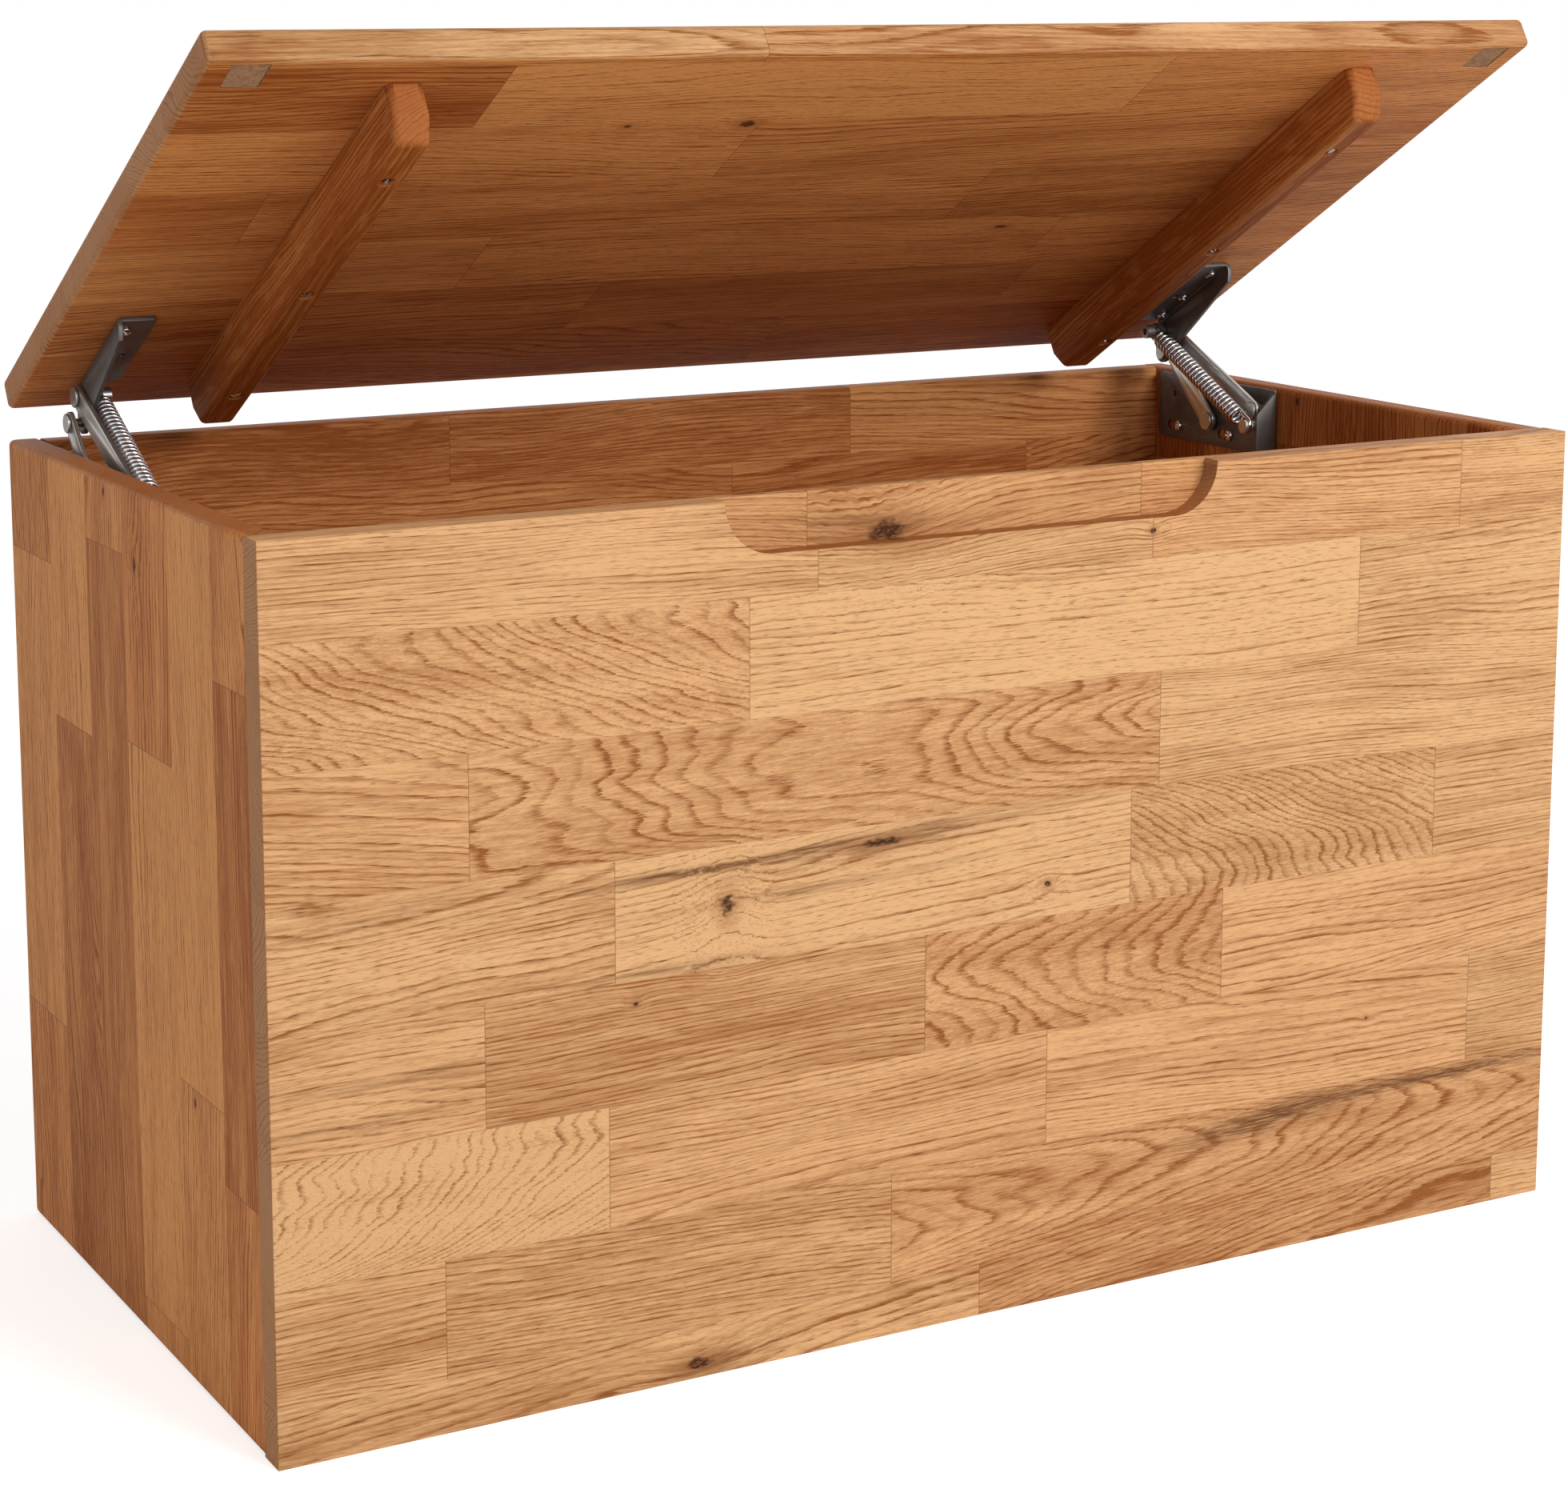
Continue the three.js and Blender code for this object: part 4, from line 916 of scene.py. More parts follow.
def arc(centre, radius, start, stop, steps=12):
    """Points on an arc, in degrees."""
    angles = [math.radians(start + (stop - start) * step / steps) for step in range(steps + 1)]
    return [(centre[0] + radius * math.cos(angle), centre[1] + radius * math.sin(angle)) for angle in angles]


TOOL_OVERRUN = 0.01
RECESS_STEPS = 20
RECESS_ABOVE_CORNER = 0.0005


def recess_tool(low, high):
    """The finger recess: a shallow pocket open at the rim, with round lower corners."""
    mine = sizes()
    half = mine.recess_half_width
    radius = mine.recess_height - RECESS_ABOVE_CORNER
    level = high[Z] - mine.recess_height + radius
    outline = [(-half, high[Z] + TOOL_OVERRUN)]
    outline += arc((radius - half, level), radius, 180, 270, RECESS_STEPS)
    outline += arc((half - radius, level), radius, 270, 360, RECESS_STEPS)
    outline += [(half, high[Z] + TOOL_OVERRUN)]
    centre = (low[X] + high[X]) / 2
    points = [(centre + x, low[Y] - TOOL_OVERRUN, z) for x, z in outline]
    return prism(points, (0, TOOL_OVERRUN + mine.recess_depth, 0))


class CHEST_OT_body_boards(bpy.types.Operator):
    """Makes the front, back, side and bottom boards"""

    bl_idname = "chest.body_boards"
    bl_label = "Make body boards"

    def execute(self, context):
        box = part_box("front_panel")
        obj = board("oak_front", box, X, Z, FRONT_ROWS, FRONT_JOINTS, 3, [(Y, 1)], FRONT_STAVES,
                    front_shade_of(*box), [recess_tool(*box)])
        finish_piece(obj, "chest", "oak", "oiled_oak_front", "front_panel")
        for word, seed in (("left", 11), ("right", 23)):
            obj = board("oak_side_" + word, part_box("side_panel_" + word), Z, Y, SIDE_ROWS, SIDE_JOINTS, seed,
                        [(Y, 0)], SIDE_STAVES, side_shade)
            finish_piece(obj, "chest", "oak", "oiled_oak_side", "side_panel_" + word)
        obj = board("oak_back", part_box("back_panel"), X, Z, BACK_ROWS, BACK_JOINTS, 31, [(X, 0), (X, 1)],
                    BACK_STAVES, back_shade)
        finish_piece(obj, "chest", "oak_inner", "oiled_oak", "back_panel")
        obj = board("oak_bottom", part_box("bottom_panel"), X, Y, BOTTOM_ROWS, BOTTOM_JOINTS, 41,
                    [(X, 0), (X, 1), (Y, 0), (Y, 1)])
        finish_piece(obj, "chest", "oak_inner", "oiled_oak", "bottom_panel")
        return {"FINISHED"}


class CHEST_OT_corner_blocks(bpy.types.Operator):
    """Makes the four upright glue blocks"""

    bl_idname = "chest.corner_blocks"
    bl_label = "Make corner blocks"

    def execute(self, context):
        corners = ("front_left", "front_right", "rear_left", "rear_right")
        for seed, corner in enumerate(corners, 51):
            node = "corner_block_" + corner
            obj = board("oak_" + node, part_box(node), Z, X, [], [[]], seed, light=block_shade)
            finish_piece(obj, "chest", "oak_inner", "oiled_oak", node)
        return {"FINISHED"}


FELT_GAP = Vector((0.0003, 0.0003, 0.0))


class CHEST_OT_lid_boards(bpy.types.Operator):
    """Makes the lid board and its two battens"""

    bl_idname = "chest.lid_boards"
    bl_label = "Make lid boards"

    def execute(self, context):
        pockets = []
        for word in SIDES:
            low, high = shut_box("felt_pad_" + word)
            pockets.append(box_mesh(low - FELT_GAP - Vector((0, 0, TOOL_OVERRUN)), high + FELT_GAP))
        obj = board("oak_lid", shut_box("lid_panel"), X, Y, LID_ROWS, LID_JOINTS, 67, [], LID_STAVES,
                    lid_shade, pockets, LID_OPEN)
        finish_piece(obj, "lid", "oak", "oiled_oak_lid", "lid_panel")
        for word, seed in (("left", 71), ("right", 73)):
            node = "batten_" + word
            finish_piece(batten("oak_" + node, shut_box(node), seed), "lid", "oak", "oiled_oak", node)
        return {"FINISHED"}


NOSE_RUN, NOSE_RISE = 0.0075, 0.013
BATTEN_BORE, BATTEN_BORE_DEPTH = 0.0046, 0.0026


def batten(name, box, seed):
    """A batten with sloping noses and counterbored screw holes, built with the lid shut."""
    low, high = box
    outline = [
        (low[Y], high[Z]),
        (low[Y], low[Z] + NOSE_RISE),
        (low[Y] + NOSE_RUN, low[Z]),
        (high[Y] - NOSE_RUN, low[Z]),
        (high[Y], low[Z] + NOSE_RISE),
        (high[Y], high[Z]),
    ]
    bm = prism([(low[X], y, z) for y, z in outline], (high[X] - low[X], 0, 0))

    def radius_of(edge):
        on_lid = all(abs(v.co[Z] - high[Z]) < TOUCHING for v in edge.verts)
        return sizes().edge_ease if on_lid else sizes().edge_round

    ease_edges(bm, radius_of)
    for number in (1, 2, 3):
        bore = bmesh.new()
        bmesh.ops.create_cone(bore, cap_ends=True, segments=32, radius1=BATTEN_BORE, radius2=BATTEN_BORE,
                              depth=2 * BATTEN_BORE_DEPTH)
        centre = ((low[X] + high[X]) / 2, middle(*shut_box("batten_screw_left_%d" % number))[Y], low[Z])
        bmesh.ops.translate(bore, vec=centre, verts=bore.verts)
        bm = subtract(bm, bore)
    # Painted shade: the batten under the lid gets the full shade tint
    paint_staves(bm, low, high, Y, Z, [], [[]], seed, BATTEN_STAVES, shaded_face)
    obj = to_object(name, bm)
    noses = [Vector((0, sign * NOSE_RISE, -NOSE_RUN)).normalized() for sign in (-1, 1)]
    smooth_roundings(obj, AXES + noses)
    obj.data.transform(LID_OPEN)
    return obj


FELT_CUTS, FELT_FUZZ = 24, 0.00035


class CHEST_OT_felt_pads(bpy.types.Operator):
    """Makes the two felt pads in the lid's front corners"""

    bl_idname = "chest.felt_pads"
    bl_label = "Make felt pads"

    def execute(self, context):
        for word in SIDES:
            low, high = shut_box("felt_pad_" + word)
            bm = box_mesh(low, high)
            bmesh.ops.subdivide_edges(bm, edges=bm.edges[:], cuts=FELT_CUTS, use_grid_fill=True)
            rng = random.Random(5 + len(word))
            for vert in bm.verts:
                if abs(vert.co[Z] - low[Z]) < 1e-6:
                    vert.co[Z] += rng.uniform(0.0, FELT_FUZZ)
            obj = to_object("felt_pad_cloth_" + word, bm)
            obj.data.transform(LID_OPEN)
            smooth(obj, 50)
            finish_piece(obj, "lid", "felt", "pressed_felt", "felt_pad_" + word)
        return {"FINISHED"}


# Hinges. Points are (inboard, y, z), counted from the side board's inner face.
def hinge_matrix(word):
    """Takes hinge places to the chest: inboard is +X on the left and -X on the right."""
    low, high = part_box("side_panel_" + word)
    matrix = Matrix.Identity(4)
    matrix[0][0] = SIDES[word]
    matrix[0][3] = high[X] if word == "left" else low[X]
    return matrix


def set_in_hinge(obj, word, place=Matrix.Identity(4)):
    obj.data.transform(place @ hinge_matrix(word))
    if SIDES[word] < 0:
        obj.data.flip_normals()
    return obj


def circle(centre, radius, steps=32):
    return arc(centre, radius, 0, 360, steps)[:-1]


def filled_curve(name, outline, holes, thickness, edge):
    """A flat sheet with holes, from closed curves, with its sharp edges eased by `edge`."""
    curve = bpy.data.curves.new(name, "CURVE")
    curve.dimensions = "2D"
    curve.fill_mode = "BOTH"
    for loop in (outline, *holes):
        spline = curve.splines.new("POLY")
        spline.points.add(len(loop) - 1)
        for point, (a, b) in zip(spline.points, loop):
            point.co = (a, b, 0.0, 1.0)
        spline.use_cyclic_u = True
    curve.extrude = max(0.0, thickness / 2 - edge)
    curve.bevel_depth = edge
    curve.bevel_resolution = 1
    curve.offset = -edge
    obj = baked(new_object(name, curve))
    worked(obj, lambda bm: bmesh.ops.remove_doubles(bm, verts=bm.verts, dist=2e-6))
    return obj


# Hinge sizes, in metres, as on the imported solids
SHEET_EDGE = 0.0003
PLATE_SHEET, ARM_SHEET, BRACKET_SHEET = 0.002, 0.0025, 0.0025
GAP = 0.0003
HEAD = 0.0015
LONG_ARM_WIDTH, SHORT_ARM_WIDTH = 0.014, 0.013
RIVET, RIVET_HEAD, LOW_PIN, LOW_PIN_HEAD = 0.003, 0.006, 0.0025, 0.0055
SPACER, NECK, BOSS = 0.0045, 0.002, 0.0045
NECK_LENGTH, BOSS_LENGTH, BOSS_HOLE, BOSS_HOLE_DEPTH = 0.0032, 0.006, 0.002, 0.004
OPEN_HOLE = 0.0046
LOW_HEAD_AT = PLATE_SHEET + GAP
SHORT_ARM_AT = LOW_HEAD_AT + HEAD + GAP
UP_HEAD_AT = SHORT_ARM_AT + ARM_SHEET + GAP
LONG_ARM_AT = UP_HEAD_AT + HEAD + GAP
BRACKET_AT = LONG_ARM_AT + ARM_SHEET + GAP
COLLAR_AT = BRACKET_AT + BRACKET_SHEET + GAP
SPRING_AT = abs(joint(SPRING_JOINT)["pos_m"][X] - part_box("side_panel_left")[1][X])
NECK_AT = SPRING_AT - NECK_LENGTH / 2
BOSS_AT = SPRING_AT + NECK_LENGTH / 2
BOSS_TOP = BOSS_AT + BOSS_LENGTH
FOLD = 0.0022
FOLD_ARC = FOLD * math.pi / 2
FOLD_STEPS = 8


def arm(name, start, stop, width, holes, inboard):
    """A stamped flat arm with round ends, standing against the wall."""
    angle = math.degrees(math.atan2(stop[Z] - start[Z], stop[Y] - start[Y]))
    outline = (arc(start[1:], width / 2, angle + 90, angle + 270)
               + arc(stop[1:], width / 2, angle - 90, angle + 90))
    obj = filled_curve(name, outline, holes, ARM_SHEET, SHEET_EDGE)
    obj.data.transform(Matrix(((0, 0, 1, inboard + ARM_SHEET / 2), (1, 0, 0, 0), (0, 1, 0, 0), (0, 0, 0, 1))))
    worked(obj, face_outwards)
    smooth(obj, 40)
    return obj


def folded(run):
    """How far a folded sheet's middle has left its first leg, and how far it still is from its second.

    `run` is counted from the fold: negative along the first leg, positive into the second."""
    if run <= 0:
        return 0.0, FOLD - run
    if run < FOLD_ARC:
        angle = run / FOLD
        return FOLD * (1 - math.cos(angle)), FOLD * (1 - math.sin(angle))
    return FOLD + run - FOLD_ARC, 0.0


def folded_piece(name, outline, holes, place_of, thickness):
    """A folded sheet. The function `place_of` gives a place for a distance along the fold and a run."""
    bm = from_object(filled_curve(name, outline, holes, 0.0, 0.0))
    for step in range(FOLD_STEPS + 1):
        slice_mesh(bm, everything(bm), (0, FOLD_ARC * step / FOLD_STEPS, 0), (0, 1, 0))
    for vert in bm.verts:
        vert.co = place_of(vert.co[0], *folded(vert.co[1]))
    obj = to_object(name, bm)
    solid = obj.modifiers.new("thickness", "SOLIDIFY")
    solid.thickness, solid.offset = thickness, 0.0
    round_off = obj.modifiers.new("edges", "BEVEL")
    round_off.width, round_off.segments, round_off.limit_method = SHEET_EDGE, 2, "ANGLE"
    round_off.angle_limit = math.radians(50)
    baked(obj)
    worked(obj, face_outwards)
    smooth(obj, 40)
    return obj


def turned(name, profile, centre, segments=40):
    """A turned piece whose axis points inboard through `centre`. The profile lists (inboard, radius)."""
    bm = bmesh.new()
    rings = []
    for inboard, radius in profile:
        points = [centre[1:]] if radius == 0.0 else circle(centre[1:], radius, segments)
        rings.append([bm.verts.new((inboard, *point)) for point in points])
    for first, second in zip(rings, rings[1:]):
        for step in range(segments):
            corners = []
            for ring, index in ((first, step), (first, step + 1), (second, step + 1), (second, step)):
                vert = ring[index % len(ring)]
                if vert not in corners:
                    corners.append(vert)
            bm.faces.new(corners)
    face_outwards(bm)
    obj = to_object(name, bm)
    smooth(obj, 35)
    return obj


def stepped_profile(start, *steps):
    """A closed profile from its start and steps (radius, where the step ends), with small chamfers."""
    points = [Vector((start, 0.0))]
    for radius, stop in steps:
        points += [Vector((points[-1][0], radius)), Vector((stop, radius))]
    points.append(Vector((points[-1][0], 0.0)))
    result = [points[0]]
    for before, point, after in zip(points, points[1:], points[2:]):
        into, onward = point - before, after - point
        if min(into.length, onward.length) > 2.5 * SHEET_EDGE and point[1] > 0:
            result.append(point - into.normalized() * SHEET_EDGE)
            result.append(point + onward.normalized() * SHEET_EDGE)
        else:
            result.append(point)
    return [*result, points[-1]]


def rivet_profile(arm_at):
    head = arm_at + ARM_SHEET + GAP
    return stepped_profile(GAP, (RIVET, LOW_HEAD_AT), (SPACER, arm_at - GAP), (RIVET, head),
                           (RIVET_HEAD, head + HEAD))


def lower_pin():
    """The middle of the short arm's upper pin, with the lid open."""
    return middle(*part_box("lower_pivot_pin_left"))


class CHEST_OT_hinge_arms(bpy.types.Operator):
    """Makes the long and short arms with their pins and rivets"""

    bl_idname = "chest.hinge_arms"
    bl_label = "Make hinge arms"

    def execute(self, context):
        low_pin = lower_pin()
        arms = [
            ("long", "bright_steel", LONG_PIVOT, UPPER_PIN, LONG_ARM_WIDTH, RIVET + GAP, LONG_ARM_AT),
            ("short", "plated_steel", SHORT_PIVOT, low_pin, SHORT_ARM_WIDTH, OPEN_HOLE, SHORT_ARM_AT),
        ]
        upper = stepped_profile(UP_HEAD_AT, (RIVET_HEAD, UP_HEAD_AT + HEAD), (RIVET, COLLAR_AT),
                                (SPACER, NECK_AT), (NECK, BOSS_AT), (BOSS, BOSS_TOP),
                                (BOSS_HOLE, BOSS_TOP - BOSS_HOLE_DEPTH))
        lower = stepped_profile(LOW_HEAD_AT, (LOW_PIN_HEAD, LOW_HEAD_AT + HEAD), (LOW_PIN, COLLAR_AT),
                                (SPACER, COLLAR_AT + HEAD))
        hook = stepped_profile(GAP, (NECK, LOW_HEAD_AT), (RIVET, NECK_AT), (NECK, BOSS_AT),
                               (BOSS, BOSS_AT + PLATE_SHEET))
        for word in SIDES:
            for kind, slot, start, stop, width, far_hole, inboard in arms:
                holes = [circle(start[1:], RIVET + GAP), circle(stop[1:], far_hole)]
                obj = arm("arm_" + kind + "_" + word, start, stop, width, holes, inboard)
                node = kind + "_arm_" + word
                finish_piece(set_in_hinge(obj, word), node, slot, "satin_steel", node)
            for name, body, node, profile, centre in (
                ("pin_upper_", "long_arm_" + word, "upper_pivot_pin_", upper, UPPER_PIN),
                ("pin_lower_", "lid", "lower_pivot_pin_", lower, low_pin),
                ("rivet_long_", "chest", "long_arm_rivet_", rivet_profile(LONG_ARM_AT), LONG_PIVOT),
                ("rivet_short_", "chest", "short_arm_rivet_", rivet_profile(SHORT_ARM_AT), SHORT_PIVOT),
                ("pin_spring_", "chest", "spring_pin_", hook, SPRING_PIN),
            ):
                obj = turned(name + word, profile, centre)
                finish_piece(set_in_hinge(obj, word), body, "plated_steel", "satin_steel", node + word)
        return {"FINISHED"}


PLATE_CORNER = 0.006
FLANGE_REACH, FLANGE_SLOPE, FLANGE_EASE, FLANGE_TOE = 0.017, 0.013, 0.003, 0.002
SLOT_LENGTH, SLOT_WIDTH, SLOT_RISE = 0.016, 0.0064, 0.0085
SLOT_FROM_BACK = (0.018, 0.074)
SPARE_HOLE, SPARE_HOLE_DROP, SPARE_HOLE_FROM_BACK = 0.002, 0.0135, 0.018
BRACKET_FRONT_DEPTH, BRACKET_BEVEL_RUN, BRACKET_BEVEL_DROP, BRACKET_TIP = 0.006, 0.004, 0.006, 0.024
BRACKET_UPPER, BRACKET_LOWER, BRACKET_CORNER = 0.0082, 0.0065, 0.0045
FLANGE_LENGTH, FLANGE_WIDTH = 0.080, 0.0225
BRACKET_HOLE_SHARE, BRACKET_HOLE_INSET = 0.56, 0.008


class CHEST_OT_hinge_plates(bpy.types.Operator):
    """Makes the fixed plates and the lid brackets"""

    bl_idname = "chest.hinge_plates"
    bl_label = "Make hinge plates"

    def execute(self, context):
        for word in SIDES:
            plate = set_in_hinge(fixed_plate("plate_" + word, word), word)
            finish_piece(plate, "chest", "plated_steel", "dark_plate", "hinge_plate_" + word)
            bracket = set_in_hinge(lid_bracket("bracket_" + word, word), word, LID_OPEN)
            finish_piece(bracket, "lid", "plated_steel", "dark_plate", "lid_bracket_" + word)
        return {"FINISHED"}


def fixed_plate(name, word):
    """The plate on the side board. Its front edge is folded inboard."""
    low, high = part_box("hinge_plate_" + word)
    rear, bottom, top = high[Y], low[Z], high[Z]
    flange_y = low[Y] + PLATE_SHEET / 2

    def place_of(z, off, left):
        return Vector((PLATE_SHEET / 2 + off, flange_y + left, z))

    def run_at(y):
        return flange_y + FOLD - y

    def slot(from_back):
        z, run = bottom + SLOT_RISE, run_at(rear - from_back)
        travel = (SLOT_LENGTH - SLOT_WIDTH) / 2
        loop = (arc((run + travel, z), SLOT_WIDTH / 2, -90, 90)
                + arc((run - travel, z), SLOT_WIDTH / 2, 90, 270))
        return [(b, a) for a, b in loop]

    reach = FOLD_ARC + FLANGE_REACH - PLATE_SHEET / 2 - FOLD
    ease, corner = FLANGE_EASE, PLATE_CORNER
    outline = [(bottom, run_at(rear - corner)), (bottom, 0.0), (bottom, reach - FLANGE_SLOPE / 2)]
    outline += arc((bottom + ease + FLANGE_TOE, reach - ease), ease, 180, 90, 6)
    outline += arc((top - FLANGE_SLOPE - ease, reach - ease), ease, 90, 30, 6)
    outline += [(top - ease, FOLD_ARC + ease / 2), (top, 0.0)]
    outline += arc((top - corner / 2, run_at(rear - corner / 2)), corner / 2, 0, -90, 6)
    outline += arc((bottom + corner, run_at(rear - corner)), corner, -90, -180, 8)
    holes = [slot(from_back) for from_back in SLOT_FROM_BACK]
    for centre, radius in ((LONG_PIVOT, RIVET), (SHORT_PIVOT, RIVET), (SPRING_PIN, NECK)):
        holes.append(circle((centre[Z], run_at(centre[Y])), radius + GAP))
    holes.append(circle((top - SPARE_HOLE_DROP, run_at(rear - SPARE_HOLE_FROM_BACK)), SPARE_HOLE))
    return folded_piece(name, outline, holes, place_of, PLATE_SHEET)


def lid_bracket(name, word):
    """The bracket under the lid: an upright cheek, folded over into a flange. Built with the lid shut."""
    sheet = sizes().sheet_thickness
    low, high = shut_box("lid_bracket_" + word)
    front, top = low[Y], high[Z]
    flat = top - sheet / 2

    def place_of(y, off, left):
        return Vector((BRACKET_AT + sheet / 2 + off, y, flat - left))

    def run_at(z):
        return z - flat + FOLD

    up, lo = UPPER_PIN_SHUT, LID_OPEN.inverted() @ lower_pin()
    up_at, lo_at = (up[Y], run_at(up[Z])), (lo[Y], run_at(lo[Z]))
    reach = FOLD_ARC + FLANGE_WIDTH - sheet / 2 - FOLD
    rear = front + FLANGE_LENGTH
    corner = BRACKET_CORNER
    outline = [
        (front, 0.0),
        (front, run_at(top - BRACKET_FRONT_DEPTH)),
        (front + BRACKET_BEVEL_RUN, run_at(top - BRACKET_FRONT_DEPTH - BRACKET_BEVEL_DROP)),
        (up[Y] - BRACKET_UPPER, run_at(top - BRACKET_TIP)),
    ]
    outline += arc(lo_at, BRACKET_LOWER, -110, 10, 10)
    outline += arc(up_at, BRACKET_UPPER, 20, 90, 8)
    outline += [(rear, 0.0)]
    outline += arc((rear - corner, reach - corner), corner, 0, 90, 8)
    outline += arc((front + corner / 2, reach - corner / 2), corner / 2, 90, 180, 6)
    spare = (front + BRACKET_HOLE_SHARE * FLANGE_LENGTH, reach - BRACKET_HOLE_INSET)
    holes = [circle(up_at, RIVET + GAP), circle(lo_at, LOW_PIN + GAP), circle(spare, SPARE_HOLE)]
    return folded_piece(name, outline, holes, place_of, sheet)


# Springs and screws are made by geometry nodes
def geometry_tree(name, inputs, geometry):
    """A geometry node group. The function `geometry` makes its result from the tree and its inputs."""
    t, given, out = node_group(
        "GeometryNodeTree", name, [("Geometry", GEOMETRY), *inputs, ("Finish", "NodeSocketMaterial")],
        {"Geometry": GEOMETRY})
    real = t.add("GeometryNodeRealizeInstances", {0: geometry(t, given)})
    painted = t.add("GeometryNodeSetMaterial", {"Geometry": real.outputs[0], "Material": given["Finish"]})
    t.fill(out, {"Geometry": painted.outputs[0]})
    return t.tree


def swept_wire(t, given):
    """Sweeps a round wire along a path."""
    ring = t.add("GeometryNodeCurvePrimitiveCircle", {
        "Resolution": given["Sides"], "Radius": given["Wire Radius"]})
    sweep = t.add("GeometryNodeCurveToMesh", {
        "Curve": given["Geometry"], "Profile Curve": ring.outputs["Curve"], "Fill Caps": True})
    return t.add("GeometryNodeSetShadeSmooth", {"Geometry": sweep.outputs[0]}).outputs[0]


def placed_screws(t, given):
    """Sets one screw at each point, turned by the point's own angles."""
    shape = t.add("GeometryNodeObjectInfo", {"Object": given["Screw"]})
    angles = t.add("GeometryNodeInputNamedAttribute", {"Name": "screw_turn"}, data_type="FLOAT_VECTOR")
    return t.add("GeometryNodeInstanceOnPoints", {
        "Points": given["Geometry"], "Instance": shape.outputs["Geometry"], "Scale": given["Size"],
        "Rotation": angles.outputs["Attribute"]}).outputs[0]


def use_tree(obj, group, **values):
    """Adds a geometry node modifier with its inputs set, and turns the result into a plain mesh."""
    modifier = obj.modifiers.new(group.name, "NODES")
    modifier.node_group = group
    for item in group.interface.items_tree:
        key = item.name.replace(" ", "_").lower()
        if item.in_out == "INPUT" and key in values:
            modifier[item.identifier] = values[key]
    return baked(obj)


COIL_FROM_PIN = 0.0095
COIL_TURNS, COIL_STEPS = 26, 28
HOOK_SWEEP, HOOK_STEPS = math.radians(250), 24
WIRE_SIDES = 12


def spring_path():
    """The wire's middle line: hook, coil, hook."""
    mine = sizes()
    radius = (mine.coil_width - mine.wire_thickness) / 2
    line = UPPER_PIN - SPRING_PIN
    shift = radius - mine.wire_thickness / 2 - NECK - GAP
    start, stop, far = COIL_FROM_PIN, line.length - COIL_FROM_PIN, line.length - shift

    def hook(centre, sweeps):
        angles = [math.pi / 2 + sweep for sweep in sweeps]
        return [(centre + radius * math.cos(angle), radius * math.sin(angle), 0.0) for angle in angles]

    points = hook(shift, [HOOK_SWEEP * (1 - step / HOOK_STEPS) for step in range(HOOK_STEPS + 1)])
    points.append(((shift + start) / 2, radius, 0.0))
    total = COIL_TURNS * COIL_STEPS
    for step in range(total + 1):
        angle = math.pi / 2 + 2 * math.pi * step / COIL_STEPS
        along = start + (stop - start) * step / total
        points.append((along, radius * math.sin(angle), radius * math.cos(angle)))
    points.append(((far + stop) / 2, radius, 0.0))
    points += hook(far, [-HOOK_SWEEP * step / HOOK_STEPS for step in range(HOOK_STEPS + 1)])
    way = line.normalized()
    return [Vector((SPRING_AT + across, SPRING_PIN[Y] + along * way[Y] - up * way[Z],
                    SPRING_PIN[Z] + along * way[Z] + up * way[Y])) for along, up, across in points]


class CHEST_OT_springs(bpy.types.Operator):
    """Makes the two tension springs"""

    bl_idname = "chest.springs"
    bl_label = "Make springs"

    def execute(self, context):
        inputs = [("Wire Radius", FLOAT), ("Sides", "NodeSocketInt")]
        group = geometry_tree("spring_wire", inputs, swept_wire)
        for word in SIDES:
            points = [hinge_matrix(word) @ point for point in spring_path()]
            curve = bpy.data.curves.new("spring_line", "CURVE")
            curve.dimensions = "3D"
            spline = curve.splines.new("POLY")
            spline.points.add(len(points) - 1)
            for target, point in zip(spline.points, points):
                target.co = (*point, 1.0)
            obj = use_tree(new_object("spring_wire_" + word, curve), group, sides=WIRE_SIDES,
                           wire_radius=sizes().wire_thickness / 2, finish=bpy.data.materials["bright_steel"])
            worked(obj, face_outwards)
            node = "lid_spring_" + word
            finish_piece(obj, node, "bright_steel", "bright_steel", node)
        return {"FINISHED"}


SCREW_HEIGHT, SCREW_SHANK, SCREW_LENGTH, SCREW_POINT = 0.0018, 0.00175, 0.006, 0.001
# Shares of the head's height and radius: where its dome starts and how flat its top is
DOME_FROM, DOME_FLAT, DOME_TOP, HEAD_UNDER = 0.22, 0.25, 0.2, 0.97
CROSS_REACH, CROSS_WIDTH, CROSS_FLOOR = 0.62, 0.11, 0.35


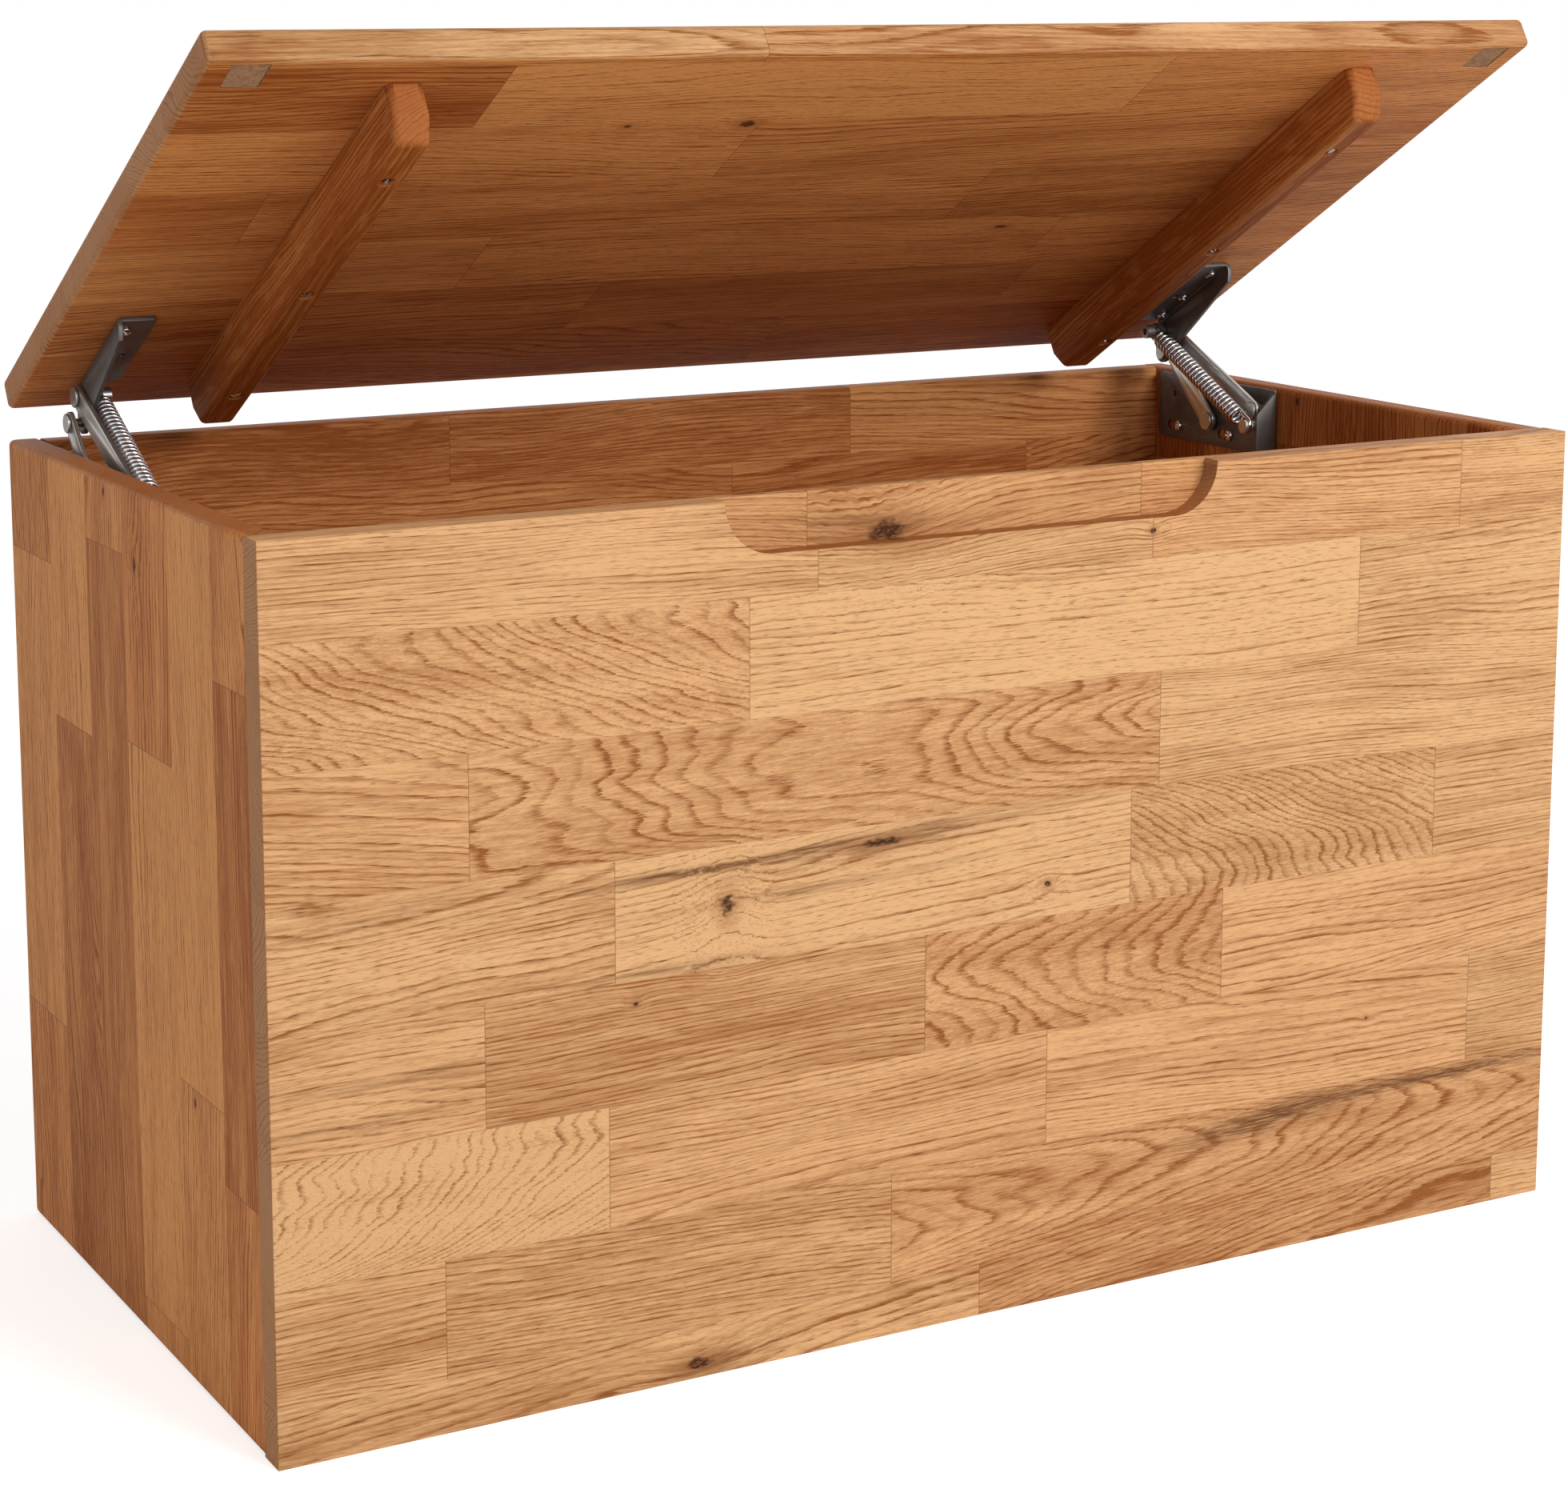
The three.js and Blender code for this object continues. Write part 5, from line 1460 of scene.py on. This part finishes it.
def screw_prototype():
    """A pan-head screw with a cross recess. Its shank points down and the head sits on the origin."""
    head = sizes().screw_head / 2
    profile = [(-SCREW_LENGTH, 0.0), (SCREW_POINT - SCREW_LENGTH, SCREW_SHANK), (0.0, SCREW_SHANK),
               (0.0, head * HEAD_UNDER), (SCREW_HEIGHT * DOME_FROM, head)]
    for degrees in range(15, 90, 15):
        angle = math.radians(degrees)
        profile.append((SCREW_HEIGHT * (DOME_FROM + (1 - DOME_FROM) * math.sin(angle)),
                        head * (DOME_FLAT + (1 - DOME_FLAT) * math.cos(angle))))
    profile += [(SCREW_HEIGHT, head * DOME_TOP), (SCREW_HEIGHT, 0.0)]
    bm = from_object(turned("screw_shape", profile, (0, 0, 0), 32))
    upright = Matrix.Rotation(math.radians(-90), 3, "Y")
    bmesh.ops.rotate(bm, cent=(0, 0, 0), matrix=upright, verts=bm.verts)
    for turn in (0, 90):
        corner = Vector((head * CROSS_REACH, head * CROSS_WIDTH, 0))
        floor, over = Vector((0, 0, SCREW_HEIGHT * CROSS_FLOOR)), Vector((0, 0, 2 * SCREW_HEIGHT))
        bar = box_mesh(floor - corner, over + corner)
        about = Matrix.Rotation(math.radians(turn), 3, "Z")
        bmesh.ops.rotate(bar, cent=(0, 0, 0), matrix=about, verts=bar.verts)
        bm = subtract(bm, bar)
    obj = to_object("screw_shape", bm)
    smooth(obj, 35)
    return obj


def screw_set(kind, body, group, prototype, places):
    """One piece of several screws. Places are (node, point, direction of the head, turn about it)."""
    mesh = bpy.data.meshes.new(kind + "_screw_heads")
    mesh.from_pydata([point for _, point, _, _ in places], [], [])
    angles = mesh.attributes.new("screw_turn", "FLOAT_VECTOR", "POINT")
    for target, (_, _, up, spin) in zip(angles.data, places):
        rotation = Vector((0, 0, 1)).rotation_difference(up).to_matrix() @ Matrix.Rotation(spin, 3, "Z")
        target.vector = rotation.to_euler()
    obj = use_tree(new_object(kind + "_screw_heads", mesh), group, screw=prototype, size=1.0,
                   finish=bpy.data.materials["bright_steel"])
    finish_piece(obj, body, "bright_steel", "bright_steel", *[node for node, _, _, _ in places])


class CHEST_OT_screws(bpy.types.Operator):
    """Sets the pan-head screws of battens, brackets and plates"""

    bl_idname = "chest.screws"
    bl_label = "Set screws"

    def execute(self, context):
        inputs = [("Screw", "NodeSocketObject"), ("Size", FLOAT)]
        group, prototype = geometry_tree("set_screws", inputs, placed_screws), screw_prototype()
        rng = random.Random(17)
        down = LID_OPEN.to_3x3() @ Vector((0, 0, -1))
        for kind in ("batten", "bracket"):
            places = []
            for node in ("%s_screw_%s_%d" % (kind, word, number) for word in SIDES for number in (1, 2, 3)):
                low, high = shut_box(node)
                x, y, _ = middle(low, high)
                point = LID_OPEN @ Vector((x, y, low[Z] + SCREW_HEIGHT))
                places.append((node, point, down, rng.uniform(0, math.pi)))
            screw_set(kind, "lid", group, prototype, places)
        places = []
        for word, number in ((word, number) for word in SIDES for number in (1, 2)):
            node, side = "plate_screw_%s_%d" % (word, number), SIDES[word]
            low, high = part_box(node)
            _, y, z = middle(low, high)
            inner = high[X] - SCREW_HEIGHT if side > 0 else low[X] + SCREW_HEIGHT
            places.append((node, Vector((inner, y, z)), Vector((side, 0, 0)), rng.uniform(0, math.pi)))
        screw_set("plate", "chest", group, prototype, places)
        bpy.data.objects.remove(prototype)
        return {"FINISHED"}


# Camera, in metres and degrees
CAMERA_PLACE = (-0.93883, -1.66638, 0.71967)
CAMERA_YAW, CAMERA_PITCH = 28.817, 9.364
CAMERA_LENS_SHARE = 4206.39 / 1960
CAMERA_SHIFT = (0.0154, -0.14)
FLOOR_REACH, FLOOR_GLOW = 14.0, 0.62
WORLD_STRENGTH = 0.40
# Lamps: place, edge length in metres, watts. Both are aimed at the middle of the chest.
LAMPS = {"key": ((1.1, -3.2, 2.2), 1.6, 87.0), "fill": ((-3.2, -1.2, 1.0), 1.6, 11.0)}
LAMP_AIM = Vector((0.0, 0.0, 0.25))


class CHEST_OT_stage(bpy.types.Operator):
    """Makes the floor, the light and the camera"""

    bl_idname = "chest.stage"
    bl_label = "Make stage"

    def execute(self, context):
        scene = context.scene
        scene.view_settings.view_transform = "Standard"
        bm = bmesh.new()
        bmesh.ops.create_grid(bm, x_segments=1, y_segments=1, size=FLOOR_REACH)
        floor = to_object("floor", bm)
        t, shader = new_material("pale_floor")
        seen = t.add("ShaderNodeLightPath").outputs["Is Camera Ray"]
        t.fill(shader, {"Base Color": (0.88, 0.88, 0.88, 1), "Roughness": 0.9, "Emission Color": (1, 1, 1, 1),
                        "Emission Strength": t.times(seen, FLOOR_GLOW)})
        floor.data.materials.append(bpy.data.materials["pale_floor"])

        scene.world = world = bpy.data.worlds.new("soft_room")
        world.use_nodes = True
        t = Tree(world.node_tree)
        path = t.add("ShaderNodeLightPath").outputs
        direct = t.math("MAXIMUM", path["Is Camera Ray"], path["Is Glossy Ray"])
        strength = t.plus(t.times(direct, 1.0 - WORLD_STRENGTH), WORLD_STRENGTH)
        t.fill(world.node_tree.nodes["Background"].inputs, {"Color": (1, 1, 1, 1), "Strength": strength})

        for name, (place, size, power) in LAMPS.items():
            lamp = bpy.data.lights.new(name, "AREA")
            lamp.shape, lamp.size, lamp.energy = "SQUARE", size, power
            obj = new_object(name, lamp)
            obj.location = place
            obj.rotation_euler = (LAMP_AIM - Vector(place)).to_track_quat("-Z", "Y").to_euler()

        camera = bpy.data.cameras.new("camera")
        camera.sensor_width = 36.0
        camera.lens = camera.sensor_width * CAMERA_LENS_SHARE
        camera.shift_x, camera.shift_y = CAMERA_SHIFT
        scene.camera = obj = new_object("camera", camera)
        obj.location = CAMERA_PLACE
        obj.rotation_euler = (math.radians(90 - CAMERA_PITCH), 0, math.radians(-CAMERA_YAW))
        return {"FINISHED"}


class CHEST_PT_panel(bpy.types.Panel):
    """Sizes, colours and pieces of the chest"""

    bl_idname = "CHEST_PT_panel"
    bl_label = "Blanket chest"
    bl_space_type = "VIEW_3D"
    bl_region_type = "UI"
    bl_category = "Chest"

    def draw(self, context):
        for group in (sizes(), colours()):
            for name in type(group).__annotations__:
                self.layout.prop(group, name)
        for operator in OPERATORS:
            self.layout.operator(operator.bl_idname)


OPERATORS = (
    CHEST_OT_stage,
    CHEST_OT_wood_finish,
    CHEST_OT_body_boards,
    CHEST_OT_corner_blocks,
    CHEST_OT_lid_boards,
    CHEST_OT_felt_pads,
    CHEST_OT_hinge_plates,
    CHEST_OT_hinge_arms,
    CHEST_OT_springs,
    CHEST_OT_screws,
)
CLASSES = (ChestSizes, ChestColours, *OPERATORS, CHEST_PT_panel)


def register():
    for cls in CLASSES:
        bpy.utils.register_class(cls)
    bpy.types.Scene.chest_sizes = PointerProperty(type=ChestSizes)
    bpy.types.Scene.chest_colours = PointerProperty(type=ChestColours)


def unregister():
    del bpy.types.Scene.chest_colours
    del bpy.types.Scene.chest_sizes
    for cls in reversed(CLASSES):
        bpy.utils.unregister_class(cls)


def main():
    for obj in [o for o in bpy.data.objects if o.type in ("CAMERA", "LIGHT") or o.name == "Cube"]:
        bpy.data.objects.remove(obj)
    register()
    for operator in OPERATORS:
        getattr(bpy.ops.chest, operator.bl_idname.split(".")[1])()


if __name__ == "__main__":
    main()
